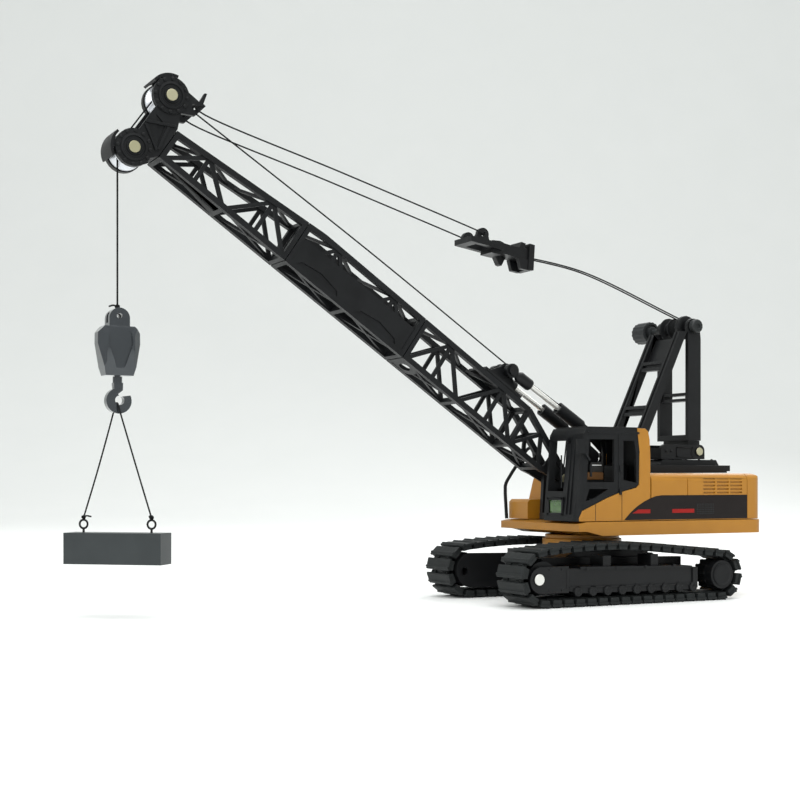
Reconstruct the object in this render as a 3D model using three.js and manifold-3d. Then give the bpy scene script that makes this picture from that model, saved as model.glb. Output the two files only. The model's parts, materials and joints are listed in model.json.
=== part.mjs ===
// Toy crawler crane with a lattice boom, about 1:50. Millimetres, +Z up.
// +X is the way the boom points, +Y is the cab side.
// The slewing axis is at X 0, Y 0 while the pieces are made; the last lines move the whole crane
// so that its origin is the bottom centre of its box.
import * as THREE from 'three';
import Module from 'manifold-3d';
import { mergeVertices } from 'three/addons/utils/BufferGeometryUtils.js';

const wasm = await Module();
wasm.setup();

// Driving dimensions
const gap = 0.3;                     // between pieces that touch
const trackOuterY = 42.5;            // half the width over the tracks
const trackInnerY = 21.1;            // inner edge of each track
const idler = { x: 48.0, z: 13.1, r: 13.1 };
const noseBolt = { x: 51.7, z: 12.6 };
const sprocket = { x: -49.4, z: 11.8, r: 11.8 };
const deckBottom = 30.4;
const deckTop = 36.7;
const deck = { rear: -83.6, front: 24.6, halfWidth: 32 };
const coverTop = 58.7;
const topDeckTop = 62.6;
const boomY = -4.8;                  // the boom stands off-centre, beside the cab
const boomAngle = THREE.MathUtils.degToRad(34.5);
const boomFoot = { x: 11.8, z: 56.2 };
const boomHalf = 8;                  // half width of the lattice
const boomLow = -5;                  // underside of the lattice, in the boom's own frame
const boomHigh = 16.2;               // top of the lattice
const boomEnd = 236;                 // length of the lattice
const gantryAxle = { x: -61.4, z: 130.6 };
const gantryHalf = 12;
const backstopFoot = { x: -3, z: 77.5 };
const backstopOffset = 6.8;          // each side of the boom's centre plane
const rollerPin = { s: 51.8, n: 24.3 };
const winch = { x: -21.5, z: 67.6 };
const headPin = { s: 245.6, high: 18.9, low: -8.5 };
const headLug = { s: 235.6, n: 21.8 };
const ropeRadius = 0.35;
const ropeLift = ropeRadius + gap;   // from a groove's bottom to the rope's centre
const pulleyGroove = { high: 3.0, low: 3.8 };
const rollerGroove = 3.2;
const luffWinding = 3.9;             // radius of the turns already on the luffing drum
const hoistWinding = 2.9;

const colours = {
  yellow: [0xb9761a, 0.45, 0.0],
  black: [0x1d1f21, 0.5, 0.0],
  rubber: [0x232526, 0.7, 0.0],
  cast: [0x2b2e31, 0.4, 0.3],
  slate: [0x596468, 0.45, 0.1],
  block: [0x3a4249, 0.25, 0.4],
  steel: [0xc9c9c4, 0.25, 0.9],
  brass: [0xb9b48c, 0.35, 0.8],
  pulley: [0xe4e6e8, 0.25, 0.6],
  string: [0x17191b, 0.8, 0.0],
  seat: [0x7a4f1c, 0.6, 0.0],
  green: [0x4f8f45, 0.3, 0.0],
  knob: [0x3d4142, 0.55, 0.0],
};

const crane = new THREE.Group();
const boomGroup = new THREE.Group();
boomGroup.position.set(boomFoot.x, boomY, boomFoot.z);
boomGroup.rotation.y = -boomAngle;
crane.add(boomGroup);

// ---- solids ----
function solid(geometry) {
  const plain = geometry.clone();
  for (const name of ['normal', 'uv']) plain.deleteAttribute(name);
  const merged = mergeVertices(plain, 1e-4);
  return new wasm.Manifold(new wasm.Mesh({
    numProp: 3,
    vertProperties: new Float32Array(merged.attributes.position.array),
    triVerts: new Uint32Array(merged.index.array),
  }));
}

function geometryOf(body) {
  const mesh = body.getMesh();
  const geometry = new THREE.BufferGeometry();
  geometry.setAttribute('position', new THREE.BufferAttribute(new Float32Array(mesh.vertProperties), 3));
  geometry.setIndex(new THREE.BufferAttribute(new Uint32Array(mesh.triVerts), 1));
  geometry.computeVertexNormals();
  return geometry;
}

function joined(bodies) {
  return bodies.reduce((whole, body) => whole.add(body));
}

function cut(body, cutters) {
  return cutters.reduce((whole, cutter) => whole.subtract(cutter), body);
}

function box([x0, x1], [y0, y1], [z0, z1]) {
  const geometry = new THREE.BoxGeometry(x1 - x0, y1 - y0, z1 - z0);
  geometry.translate((x0 + x1) / 2, (y0 + y1) / 2, (z0 + z1) / 2);
  return solid(geometry);
}

function outline(points) {
  return Array.isArray(points) ? new THREE.Shape(points.map(([a, b]) => new THREE.Vector2(a, b))) : points;
}

// an outline in X and Z, pushed from y0 to y1
function plateXZ(points, [y0, y1], curveSegments = 8) {
  const geometry = new THREE.ExtrudeGeometry(outline(points), { depth: y1 - y0, bevelEnabled: false, curveSegments });
  geometry.rotateX(Math.PI / 2);
  geometry.translate(0, y1, 0);
  return solid(geometry);
}

// an outline in X and Y, pushed from z0 to z1
function plateXY(points, [z0, z1], curveSegments = 8) {
  const geometry = new THREE.ExtrudeGeometry(outline(points), { depth: z1 - z0, bevelEnabled: false, curveSegments });
  geometry.translate(0, 0, z0);
  return solid(geometry);
}

function cylinderY(radius, x, z, [y0, y1], sides = 24) {
  const geometry = new THREE.CylinderGeometry(radius, radius, y1 - y0, sides);
  geometry.translate(x, (y0 + y1) / 2, z);
  return solid(geometry);
}

function cylinderZ(radius, x, y, [z0, z1], sides = 24) {
  const geometry = new THREE.CylinderGeometry(radius, radius, z1 - z0, sides);
  geometry.rotateX(Math.PI / 2);
  geometry.translate(x, y, (z0 + z1) / 2);
  return solid(geometry);
}

// a turned piece on an axis along Y; the profile is [radius, y] points
function turnedY(profile, x, z, sides = 24) {
  const geometry = new THREE.LatheGeometry(profile.map(([r, y]) => new THREE.Vector2(r, y)), sides);
  geometry.translate(x, 0, z);
  return solid(geometry);
}

// a straight bar between two points, wide across the side direction and thick the other way
function bar(from, to, wide, thick, side = [0, 1, 0]) {
  const start = new THREE.Vector3(...from);
  const along = new THREE.Vector3(...to).sub(start);
  const length = along.length();
  const x = along.clone().normalize();
  const y = new THREE.Vector3(...side);
  y.addScaledVector(x, -y.dot(x)).normalize();
  const z = new THREE.Vector3().crossVectors(x, y);
  const geometry = new THREE.BoxGeometry(length, wide, thick);
  const middle = start.addScaledVector(along, 0.5);
  geometry.applyMatrix4(new THREE.Matrix4().makeBasis(x, y, z).setPosition(middle));
  return solid(geometry);
}

function circle(radius, sides) {
  const points = [];
  for (let i = 0; i < sides; i += 1) {
    const angle = (2 * Math.PI * i) / sides;
    points.push(new THREE.Vector2(radius * Math.cos(angle), radius * Math.sin(angle)));
  }
  return new THREE.Shape(points);
}

// a smooth curve that is stepped evenly from point to point, not evenly along its length
class RouteCurve extends THREE.CatmullRomCurve3 {
  getPointAt(t, target) {
    return this.getPoint(t, target);
  }

  getTangentAt(t, target) {
    return this.getTangent(t, target);
  }
}

// a round rod or rope on a smooth curve through points
function tube(points, radius, stepsBetween = 2, sides = 8) {
  const path = new RouteCurve(points.map((point) => new THREE.Vector3(...point)), false, 'centripetal');
  const steps = points.length > 2 ? (points.length - 1) * stepsBetween : 1;
  const section = circle(radius, sides);
  return solid(new THREE.ExtrudeGeometry(section, { steps, extrudePath: path, bevelEnabled: false }));
}

function piece(name, body, colour, parent = crane) {
  const [hex, roughness, metalness] = colours[colour];
  const material = new THREE.MeshStandardMaterial({ color: hex, roughness, metalness, name: colour });
  const mesh = new THREE.Mesh(geometryOf(body), material);
  mesh.name = name;
  parent.add(mesh);
  return mesh;
}

// ---- undercarriage ----
function carBody() {
  const hull = plateXZ([[-25, 9], [-20, 6.5], [20, 6.5], [25, 9], [25, 20], [18, 23.2], [-18, 23.2], [-25, 20]],
    [-20.4, 20.4]);
  const turntableSeat = cylinderZ(16, 0, 0, [22, 24], 32);
  const kingpin = cylinderZ(5, 0, 0, [23, 28.4], 20);
  return joined([hull, turntableSeat, kingpin]);
}

// the middle line of the belt's outside: a front half circle, a sagging arch on top, a rear half circle
function beltOutline(inset) {
  const points = [];
  const front = idler.r - inset;
  const rear = sprocket.r - inset;
  for (let i = 0; i <= 9; i += 1) {
    const angle = -Math.PI / 2 + (i / 9) * Math.PI * 0.97;
    points.push([idler.x + front * Math.cos(angle), idler.z + front * Math.sin(angle)]);
  }
  for (const [x, z] of [[36, 27.4], [22, 28.1], [6, 28.2], [-12, 27.1], [-28, 25.6]]) points.push([x, z - inset]);
  for (let i = 0; i <= 9; i += 1) {
    const angle = Math.PI * 0.56 + (i / 9) * Math.PI * 0.94;
    points.push([sprocket.x + rear * Math.cos(angle), sprocket.z + rear * Math.sin(angle)]);
  }
  return points;
}

// one closed outline: raised shoes with narrow gaps between them
function trackBelt(side) {
  const shoeHeight = 1.2;
  const beltThickness = 4.2;
  const shoeCount = 42;
  const line = new THREE.Shape(beltOutline(0).map(([x, z]) => new THREE.Vector2(x, z)));
  line.closePath();
  const outer = [];
  for (let i = 0; i < shoeCount; i += 1) {
    for (const [part, inset] of [[0.05, shoeHeight], [0.1, 0], [0.9, 0], [0.95, shoeHeight]]) {
      const at = line.getPointAt((i + part) / shoeCount);
      const tangent = line.getTangentAt((i + part) / shoeCount);
      outer.push([at.x - tangent.y * inset, at.y + tangent.x * inset]);
    }
  }
  const width = side > 0 ? [trackInnerY, trackOuterY] : [-trackOuterY, -trackInnerY];
  const hollow = plateXZ(beltOutline(beltThickness), [width[0] - 1, width[1] + 1]);
  return plateXZ(outer, width).subtract(hollow);
}

function trackFrame(side) {
  const at = (a, b) => [Math.min(side * a, side * b), Math.max(side * a, side * b)];
  const nose = new THREE.Shape();
  nose.moveTo(36, 6.4);
  nose.lineTo(50.2, 6.4);
  nose.absarc(50.2, 12.2, 5.8, -Math.PI / 2, Math.PI / 2, false);
  nose.lineTo(36, 18);
  const beam = plateXZ([[38, 7.6], [38, 16.9], [-36, 15.6], [-36, 6.2], [-30, 5.4], [30, 5.9]], at(23.6, 40.6));
  const ledge = plateXZ([[30, 16.4], [30, 17.6], [-32, 16.4], [-32, 15.4]], at(23.6, 41.5));
  const rollers = [];
  for (let i = 0; i < 9; i += 1) rollers.push(cylinderY(2.4, 31 - i * 8, 6.8, at(25, 41), 8));
  const carriers = [14.5, -11.9].map((x) => box([x - 2.1, x + 2.1], at(30, 39.6), [15, 22]));
  const rearArm = plateXZ([[-34, 7], [-34, 15.5], [-44, 13.8], [-44, 9.5]], at(24.5, 29));
  const inside = new THREE.Shape();
  inside.moveTo(-40, 4.9);
  inside.lineTo(47, 4.9);
  inside.absarc(48, 13.1, 8, -Math.PI / 2, Math.PI / 2, false);
  inside.lineTo(-40, 19.6);
  const innerPlate = plateXZ(inside, at(21.4, 23.7));
  const mountPads = [[6, 24], [-24, -6]].map((x) => box(x, at(20.7, 22), [9, 19]));
  const frame = joined([plateXZ(nose, at(39.4, 41.2)), beam, ledge, ...rollers, ...carriers, rearArm, innerPlate,
    ...mountPads, box([35.5, 38.9], at(22, 40.6), [7.6, 17]),
    cylinderY(2.2, idler.x, idler.z, at(22, 40), 16)]);
  return frame.subtract(cylinderY(1.9, noseBolt.x, noseBolt.z, [-45, 45], 16));
}

function idlerWheel(side) {
  const middle = side * 31.8;
  return turnedY([[2.5, middle - 7], [7.4, middle - 7], [7.4, middle - 2.5], [8.3, middle - 1.8],
    [8.3, middle + 1.8], [7.4, middle + 2.5], [7.4, middle + 7], [2.5, middle + 7], [2.5, middle - 7]],
  idler.x, idler.z, 20);
}

function noseBoltPiece(side) {
  const head = side > 0 ? [41.5, 42.2] : [-42.2, -41.5];
  const shank = side > 0 ? [39.2, 42] : [-42, -39.2];
  return cylinderY(2.5, noseBolt.x, noseBolt.z, head, 16).add(cylinderY(1.6, noseBolt.x, noseBolt.z, shank, 12));
}

function sprocketWheel(side) {
  const points = [];
  const teeth = 11;
  for (let i = 0; i < teeth * 4; i += 1) {
    const angle = (2 * Math.PI * i) / (teeth * 4);
    const radius = i % 4 < 2 ? 6.9 : 5.6;
    points.push([sprocket.x + radius * Math.cos(angle), sprocket.z + radius * Math.sin(angle)]);
  }
  const at = (a, b) => [Math.min(side * a, side * b), Math.max(side * a, side * b)];
  return joined([plateXZ(points, at(29.4, 37)), cylinderY(6.6, sprocket.x, sprocket.z, at(36, 41.8), 22),
    cylinderY(5.2, sprocket.x, sprocket.z, at(41, 42.3), 22)]);
}

// ---- house ----
function deckPlate() {
  const side = plateXZ([[deck.rear + 1.2, deckBottom], [12, deckBottom], [20, 32.4], [deck.front, 32.4],
    [deck.front, 35.8], [20, deckTop], [deck.rear, deckTop], [deck.rear, deckBottom + 1.4]], [-34, 34]);
  const plan = new THREE.Shape();
  plan.moveTo(deck.rear + 6, -32.6);
  plan.lineTo(deck.front, -32.6);
  plan.lineTo(deck.front, 32.6);
  plan.absarc(deck.rear + 6, 26.6, 6, Math.PI / 2, Math.PI, false);
  plan.absarc(deck.rear + 6, -26.6, 6, Math.PI, 1.5 * Math.PI, false);
  const slab = side.intersect(plateXY(plan, [deckBottom - 1, deckTop + 1], 5));
  return slab.subtract(cylinderZ(5.6, 0, 0, [deckBottom - 1, deckBottom + 3], 20));
}

function slewRing() {
  const ring = cylinderZ(18.6, 0, 0, [24.3, 28.2], 36).add(cylinderZ(17.4, 0, 0, [28, deckBottom - gap], 36));
  return ring.subtract(cylinderZ(5.6, 0, 0, [24, deckBottom], 20));
}

function louvres(side) {
  const slots = [];
  for (let row = 0; row < 5; row += 1) {
    for (let group = 0; group < 3; group += 1) {
      const rear = -70.2 + group * 8.2;
      const low = 49.2 + row * 1.65;
      slots.push(box([rear, rear + 7.2], side > 0 ? [31.3, 33] : [-33, -31.3], [low, low + 0.8]));
    }
  }
  return slots;
}

// the cross-section of the cover and of the counterweight, with rounded shoulders
function coverSection(halfWidth, low, high, radius) {
  const shape = new THREE.Shape();
  shape.moveTo(-halfWidth, low);
  shape.lineTo(halfWidth, low);
  shape.absarc(halfWidth - radius, high - radius, radius, 0, Math.PI / 2, false);
  shape.absarc(-halfWidth + radius, high - radius, radius, Math.PI / 2, Math.PI, false);
  return shape;
}

function alongX(shape, [x0, x1], curveSegments = 4) {
  const geometry = new THREE.ExtrudeGeometry(shape, { depth: x1 - x0, bevelEnabled: false, curveSegments });
  geometry.rotateX(Math.PI / 2);
  geometry.rotateZ(Math.PI / 2);
  geometry.translate(x0, 0, 0);
  return solid(geometry);
}

const boomBay = { near: 5.2, far: -14.2 };
const shoulder = 3.8;                // rounding along the top of the cover

function engineCover() {
  const base = deckTop + gap;
  const main = alongX(coverSection(deck.halfWidth, base, coverTop, shoulder), [-73.2, -16.2], 5);
  const farPart = alongX(coverSection(deck.halfWidth, base, coverTop, shoulder), [-17, 9.4], 5)
    .intersect(plateXZ([[-18, base], [9.4, base], [9, 46], [5.6, coverTop], [-18, coverTop]], [-32, boomBay.far]));
  const seam = box([-37.4, -37.0], [31.6, 33], [36, 60]);
  return cut(main.add(farPart), [...louvres(1), ...louvres(-1), seam]);
}

function counterweight() {
  const base = deckTop + gap;
  const rear = new THREE.Shape();
  rear.moveTo(-73.5, base);
  rear.lineTo(-73.5, coverTop);
  rear.absarc(-76.9, coverTop - 6, 6, Math.PI / 2, Math.PI * 0.95, false);
  rear.lineTo(deck.rear + 0.3, base);
  const plan = new THREE.Shape();
  plan.moveTo(deck.rear + 6.3, -32);
  plan.lineTo(-73, -32);
  plan.lineTo(-73, 32);
  plan.absarc(deck.rear + 6.3, 26, 6, Math.PI / 2, Math.PI, false);
  plan.absarc(deck.rear + 6.3, -26, 6, Math.PI, 1.5 * Math.PI, false);
  return alongX(coverSection(deck.halfWidth, base, coverTop, shoulder), [-85, -73.5], 5)
    .intersect(plateXZ(rear, [-33, 33], 5))
    .intersect(plateXY(plan, [base - 1, coverTop + 1], 5));
}

function topDeck() {
  const low = coverTop + gap;
  const plate = plateXY([[-78, -19], [-16.5, -19], [-16.5, 15], [-30, 16.4], [-78, 16.4]], [low, topDeckTop]);
  const notch = plateXZ([[-82, coverTop - 7], [-82, 63], [-74.4, 63], [-74.4, low + 0.2], [-79, low - 3]], [-33, 33]);
  const step = plateXZ([[-77, topDeckTop - 0.5], [-40.5, topDeckTop - 0.5], [-40.5, 63], [-42.5, 65.4], [-75.4, 65.4],
    [-77, 63]], [-16.9, 7.3]);
  return joined([plate.subtract(notch), box([-76.4, -70], [-19, 16.4], [low + 0.8, topDeckTop]), step]);
}

function toolBox() {
  const body = plateXZ([[-2, deckTop + gap], [21, deckTop + gap], [21, 45], [19.6, 46.3], [9.8, 46.3], [9.8, 44]],
    [-31, -14.6]);
  return body.intersect(plateXZ([[9.7, 36], [22, 36], [22, 47], [9.7, 47]], [-32, -14]));
}

function boomFootBracket() {
  const cheek = new THREE.Shape();
  cheek.moveTo(3, deckTop + gap);
  cheek.lineTo(17.2, deckTop + gap);
  cheek.lineTo(boomFoot.x + 4.4, boomFoot.z);
  cheek.absarc(boomFoot.x, boomFoot.z, 4.4, 0, Math.PI, false);
  const cheeks = [[-10.2, -8.0], [-1.6, 0.6]].map((y) => plateXZ(cheek, y, 8));
  const floor = box([3, 17.2], [-10.2, 0.6], [deckTop + gap, 40]);
  return joined([...cheeks, floor]).subtract(cylinderY(1.7, boomFoot.x, boomFoot.z, [-20, 20], 16));
}

function handrail() {
  return tube([[22.9, -30.2, 36.9], [23.4, -30.2, 45], [23.7, -30.2, 52.4], [22.6, -30.2, 55.2],
    [16.4, -30, 63.8], [11.6, -29.8, 70.2], [9.4, -29.8, 71.2], [7.8, -29.8, 69.6], [6.9, -29.8, 64]], 0.85)
    .add(tube([[7.0, -29.8, 65.5], [3.6, -29.8, coverTop + gap]], 0.85));
}

// ---- cab ----
const cab = { inner: 5.4, outer: 32, floor: 37, roof: 79.1, wall: 1.4 };

// side view of the cab, moved inwards by an inset
function cabProfile(inset) {
  return [[-15.6 + inset, cab.floor + inset], [25.4 - inset, cab.floor + inset],
    [21.8 - inset, 75.8 - inset], [19.8 - inset, cab.roof - inset], [-12.6 + inset, cab.roof - inset],
    [-14.4 + inset, 77.7 - inset], [-15.2 + inset, 74], [-15.6 + inset, 66]];
}

function cabShell() {
  const plan = new THREE.Shape();
  plan.moveTo(-15.6, cab.inner);
  plan.lineTo(24.4, cab.inner);
  plan.absarc(24.4, cab.inner + 1, 1, -Math.PI / 2, 0, false);
  plan.absarc(20.9, cab.outer - 4.5, 4.5, 0, Math.PI / 2, false);
  plan.lineTo(-15.6, cab.outer);
  const outer = plateXZ(cabProfile(0), [cab.inner, cab.outer])
    .intersect(plateXY(plan, [cab.floor - 1, cab.roof + 1], 6));
  const hollow = plateXZ(cabProfile(cab.wall), [cab.inner + cab.wall, cab.outer - cab.wall])
    .intersect(plateXY([[-15, 0], [23.9, 0], [23.9, cab.outer - 5.6], [20, cab.outer - 1.5], [-15, cab.outer]], [30, 90]));
  const throughSide = [cab.inner - 1, cab.outer + 1];
  const windows = [
    plateXZ([[4.9, 54.6], [19.9, 54.6], [18.4, 73.8], [4.9, 73.9]], throughSide),
    plateXZ([[8.2, 51.4], [18.6, 51.6], [20.6, 45.8], [15.5, 47.4]], throughSide),
    plateXZ([[-7.6, 54.2], [-0.3, 55.6], [-0.3, 73.4], [-6.4, 73.4], [-7.4, 68]], throughSide),
    box([18, 28], [cab.inner + 1.7, 19.6], [50.4, 73.4]),
    box([18, 28], [9.4, 20], [40.2, 46.8]),
  ];
  return cut(outer, [hollow, ...windows]);
}

// everything under and behind this line is the yellow skirt with its rear pillar
function skirtRegion(shift) {
  return plateXZ([[-20, 30], [23.6, 30], [23.6, 38.6 + shift], [22.4, 41.6 + shift], [17.8, 43.6 + shift],
    [9.2, 47.2 + shift], [1.1, 50.0 + shift], [-7.6 + shift, 52.0 + shift], [-9.2 + shift, 53.4 + shift],
    [-9.4 + shift, 68], [-7.9 + shift, 80], [-20, 80]], [0, 40]);
}

function cabFrame() {
  const shell = cabShell().subtract(skirtRegion(gap));
  const ridges = [23.4, 26.2].map((y) => bar([25.3, y, 40], [21.6, y, 75], 0.7, 0.9));
  const wiperHead = box([21, 24.2], [20.6, 23], [73.4, 74.6]);
  const frontWall = plateXZ(cabProfile(-0.7), [0, 40]).subtract(skirtRegion(gap));
  return joined([shell, ...ridges.map((ridge) => ridge.intersect(frontWall)), wiperHead]);
}

function cabSkirt() {
  return cabShell().intersect(skirtRegion(0));
}

function cabSeat() {
  const base = box([-2, 12], [9, 23], [38.7, 47]);
  const back = plateXZ([[-10.4, 38.7], [-6, 38.7], [-6.4, 62], [-9.2, 63.6], [-11, 62]], [9, 21]);
  const console = box([3.6, 12.4], [17, 22], [38.7, 58.8]);
  return joined([base, back, console, box([-10, 12], [9, 21], [38.7, 42])]);
}

function lowerPane() {
  return box([24.0, 24.6], [9.7, 19.7], [40.5, 46.5]).add(box([24.2, 24.9], [10.4, 19.0], [41.2, 45.8]));
}

function mirror() {
  const plate = plateXZ([[22.4, 67.4], [26.6, 67.4], [27.0, 73.6], [22.8, 73.6]], [33.2, 34.4]);
  const arm = bar([22.9, 33.6, 69], [18.8, 32.7, 64.4], 0.8, 0.8);
  return plate.add(arm);
}

// ---- gantry ----
const gantry = { near: boomY + gantryHalf, far: boomY - gantryHalf };

function gantryBase() {
  const low = 65.4 + gap;
  const lug = new THREE.Shape();
  lug.moveTo(-68.2, low);
  lug.lineTo(-41.4, low);
  lug.absarc(-44.4, 69.8, 3, 0, Math.PI / 2, false);
  lug.absarc(-65.2, 69.8, 3, Math.PI / 2, Math.PI, false);
  const lugs = [[5.2, 7.2], [-16.8, -14.8]].map((y) => plateXZ(lug, y, 5));
  const floor = box([-68.2, -41.4], [-16.8, 7.2], [low, 67.2]);
  const frontWall = box([-43.4, -41.4], [-16.8, 7.2], [low, 71]);
  return joined([...lugs, floor, frontWall]).subtract(cylinderY(1.5, -64.5, 69.4, [-30, 30], 16));
}

function gantryPost() {
  const front = -58;
  const rear = -65.8;
  const post = new THREE.Shape();
  post.moveTo(rear, 74.8);
  post.lineTo(front, 74.8);
  post.lineTo(front, gantryAxle.z - 2);
  post.absarc(gantryAxle.x, gantryAxle.z, 3.9, -0.4, Math.PI + 0.2, false);
  post.lineTo(rear, gantryAxle.z - 6);
  const posts = [[gantry.near - 2.2, gantry.near], [gantry.far, gantry.far + 2.2]].map((y) => plateXZ(post, y, 8));
  const lowBar = box([rear, front], [gantry.far, gantry.near], [74.8, 77.6]);
  const midBar = box([-64.6, -59.2], [gantry.far, gantry.near], [94.2, 98.4]);
  const tongue = plateXZ([[-67, 74.8], [-67, 68], [-62, 67.6], [-60, 70], [-60, 74.8]], [-14.4, 4.8]);
  return cut(joined([...posts, lowBar, midBar, tongue]), [
    cylinderY(1.8, gantryAxle.x, gantryAxle.z, [-40, 30], 20),
    cylinderY(1.5, -64.5, 69.4, [-30, 30], 16),
    box([-66, -58.8], [-13, 3.4], [95.6, 97]),
  ]);
}

// the inclined ladder leg: x of its front edge at a height
function legFront(z) {
  return -30 + (80.2 - z) / 2.09;
}

function gantryLeg() {
  const foot = topDeckTop + gap;
  const crest = 128;
  const width = 4.9;
  const rail = [[legFront(foot) - width, foot], [legFront(foot), foot], [legFront(crest), crest],
    [legFront(crest) - width + 0.4, crest]];
  const groove = [[legFront(foot) + 1, foot - 1], [legFront(foot) - 0.9, foot - 1], [legFront(crest) - 0.9, crest + 1],
    [legFront(crest) + 1, crest + 1]];
  const rails = [[gantry.near - 4, gantry.near], [gantry.far, gantry.far + 4]];
  const grooves = [[gantry.near - 2.6, gantry.near - 1.3], [gantry.far + 1.3, gantry.far + 2.6]];
  const rung = (z) => plateXZ([[legFront(z) - 3.6, z - 2.4], [legFront(z) + 0.6, z - 2.4],
    [legFront(z) - 1.0, z + 2.4], [legFront(z) - 4.6, z + 2.4]], [gantry.far + 1, gantry.near - 1]);
  const rungGroove = (z) => plateXZ([[legFront(z) - 1.4, z - 0.7], [legFront(z) + 2, z - 0.7],
    [legFront(z) + 2, z + 0.8], [legFront(z) - 1.6, z + 0.8]], [gantry.far + 4.6, gantry.near - 4.6]);
  const web = plateXZ([[legFront(113) - 4.4, 113], [legFront(113) - 2.8, 113], [legFront(125) - 2.8, 125],
    [legFront(125) - 4.4, 125]], [gantry.far + 1, gantry.near - 1]);
  const heights = [111.4, 89.2];
  const leg = joined([...rails.map((y) => plateXZ(rail, y)), ...heights.map(rung), web]);
  return cut(leg, [...grooves.map((y) => plateXZ(groove, y)), ...heights.map(rungGroove)]);
}

function footPin() {
  return turnedY([[0, -17.8], [2.0, -17.8], [2.0, -17.1], [1.15, -17.1], [1.15, 7.5], [2.0, 7.5], [2.0, 8.2], [0, 8.2]],
    -64.5, 69.4, 16);
}

function luffingDrum() {
  const c = boomY;
  return turnedY([[1.7, c - 7.4], [5.8, c - 7.4], [5.8, c - 6.6], [3.4, c - 6.2], [3.4, c - 2.6], [5.2, c - 2.4],
    [5.2, c - 1.8], [luffWinding, c - 1.6], [luffWinding, c + 3.8], [5.8, c + 4.4], [5.8, c + 6.6], [4.2, c + 7.4], [1.7, c + 7.4],
    [1.7, c - 7.4]], gantryAxle.x, gantryAxle.z, 20);
}

function luffingAxle() {
  const axle = turnedY([[0, -30], [1.3, -30], [1.3, 7.6], [3.4, 7.6], [3.4, 9.9], [2.8, 10.5], [1.4, 10.5], [1.4, 9.8],
    [0, 9.8]], gantryAxle.x, gantryAxle.z, 14);
  return axle.add(knurledKnob(5.5, gantryAxle.x, gantryAxle.z, [-35.2, -25.8]));
}

// a knurled cap with a shallow dish on its inner side
function knurledKnob(radius, x, z, [y0, y1]) {
  const points = [];
  const ribs = 16;
  for (let i = 0; i < ribs * 2; i += 1) {
    const angle = (Math.PI * i) / ribs;
    const r = i % 2 ? radius : radius - 0.35;
    points.push([x + r * Math.cos(angle), z + r * Math.sin(angle)]);
  }
  const hollow = cylinderY(radius - 1.3, x, z, [y1 - 1.2, y1 + 1], 24);
  const hub = cylinderY(2.8, x, z, [y0 + 1, y1 + 1.6], 16);
  return plateXZ(points, [y0, y1]).subtract(hollow).add(hub);
}

// ---- hoist winch ----
function winchBracket() {
  const low = topDeckTop + gap;
  const cheek = new THREE.Shape();
  cheek.moveTo(-28.6, low);
  cheek.lineTo(-17.4, low);
  cheek.lineTo(winch.x + 2.6, winch.z);
  cheek.absarc(winch.x, winch.z, 2.6, 0, Math.PI, false);
  const cheeks = [[boomY - 6.7, boomY - 5.5], [boomY + 5.5, boomY + 6.7]].map((y) => plateXZ(cheek, y, 8));
  const strap = box([-28.6, -26.6], [boomY - 6.7, boomY + 6.7], [low, 64.4]);
  return joined([...cheeks, strap]).subtract(cylinderY(1.5, winch.x, winch.z, [-40, 20], 16));
}

function winchDrum() {
  const c = boomY;
  return turnedY([[1.6, c - 5], [4.2, c - 5], [4.2, c - 4.2], [hoistWinding, c - 3.9], [hoistWinding, c + 3.9], [4.2, c + 4.2],
    [4.2, c + 5], [1.6, c + 5], [1.6, c - 5]], winch.x, winch.z, 16);
}

function winchAxle() {
  const axle = turnedY([[0, -30], [1.2, -30], [1.2, 2.3], [2.2, 2.3], [2.2, 3.0], [0, 3.0]], winch.x, winch.z, 12);
  return axle.add(knurledKnob(4.6, winch.x, winch.z, [-31.4, -25.6]));
}

// ---- back-stops ----
const backstopTop = {
  x: boomFoot.x + Math.cos(boomAngle) * rollerPin.s - Math.sin(boomAngle) * rollerPin.n,
  z: boomFoot.z + Math.sin(boomAngle) * rollerPin.s + Math.cos(boomAngle) * rollerPin.n,
};
const backstopLength = Math.hypot(backstopTop.x - backstopFoot.x, backstopTop.z - backstopFoot.z);
const backstopAngle = Math.atan2(backstopTop.z - backstopFoot.z, backstopTop.x - backstopFoot.x);

// a group whose X runs from the foot pivot to the roller pin
function backstopGroup(sideways) {
  const group = new THREE.Group();
  group.position.set(backstopFoot.x, boomY + sideways, backstopFoot.z);
  group.rotation.y = -backstopAngle;
  crane.add(group);
  return group;
}

// a turned piece along X; the profile is [radius, x] points
function turnedX(profile, sides = 20) {
  const geometry = new THREE.LatheGeometry(profile.map(([r, x]) => new THREE.Vector2(r, x)), sides);
  geometry.rotateZ(-Math.PI / 2);
  return solid(geometry);
}

function backstopBarrel() {
  const tubeBody = turnedX([[0, 1.6], [1.6, 1.6], [1.6, 4.4], [3.0, 6.5], [3.0, 21.5], [2.1, 21.5], [2.1, 8.8], [0, 8.8]], 14);
  const eye = cylinderY(2.5, 0, 0, [-1.5, 1.5], 14);
  return tubeBody.add(eye).subtract(cylinderY(1.2, 0, 0, [-3, 3], 12));
}

function backstopRod() {
  const end = backstopLength;
  const sleeve = turnedX([[0, 18.4], [1.3, 18.4], [1.3, end - 12.2], [2.5, end - 12.2], [2.8, end - 11.4],
    [2.8, end - 5], [1.4, end - 3], [0, end - 3]], 14);
  const eye = cylinderY(3.3, end, 0, [-1.4, 1.4], 18);
  return sleeve.add(eye).subtract(cylinderY(1.6, end, 0, [-4, 4], 16));
}

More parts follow.
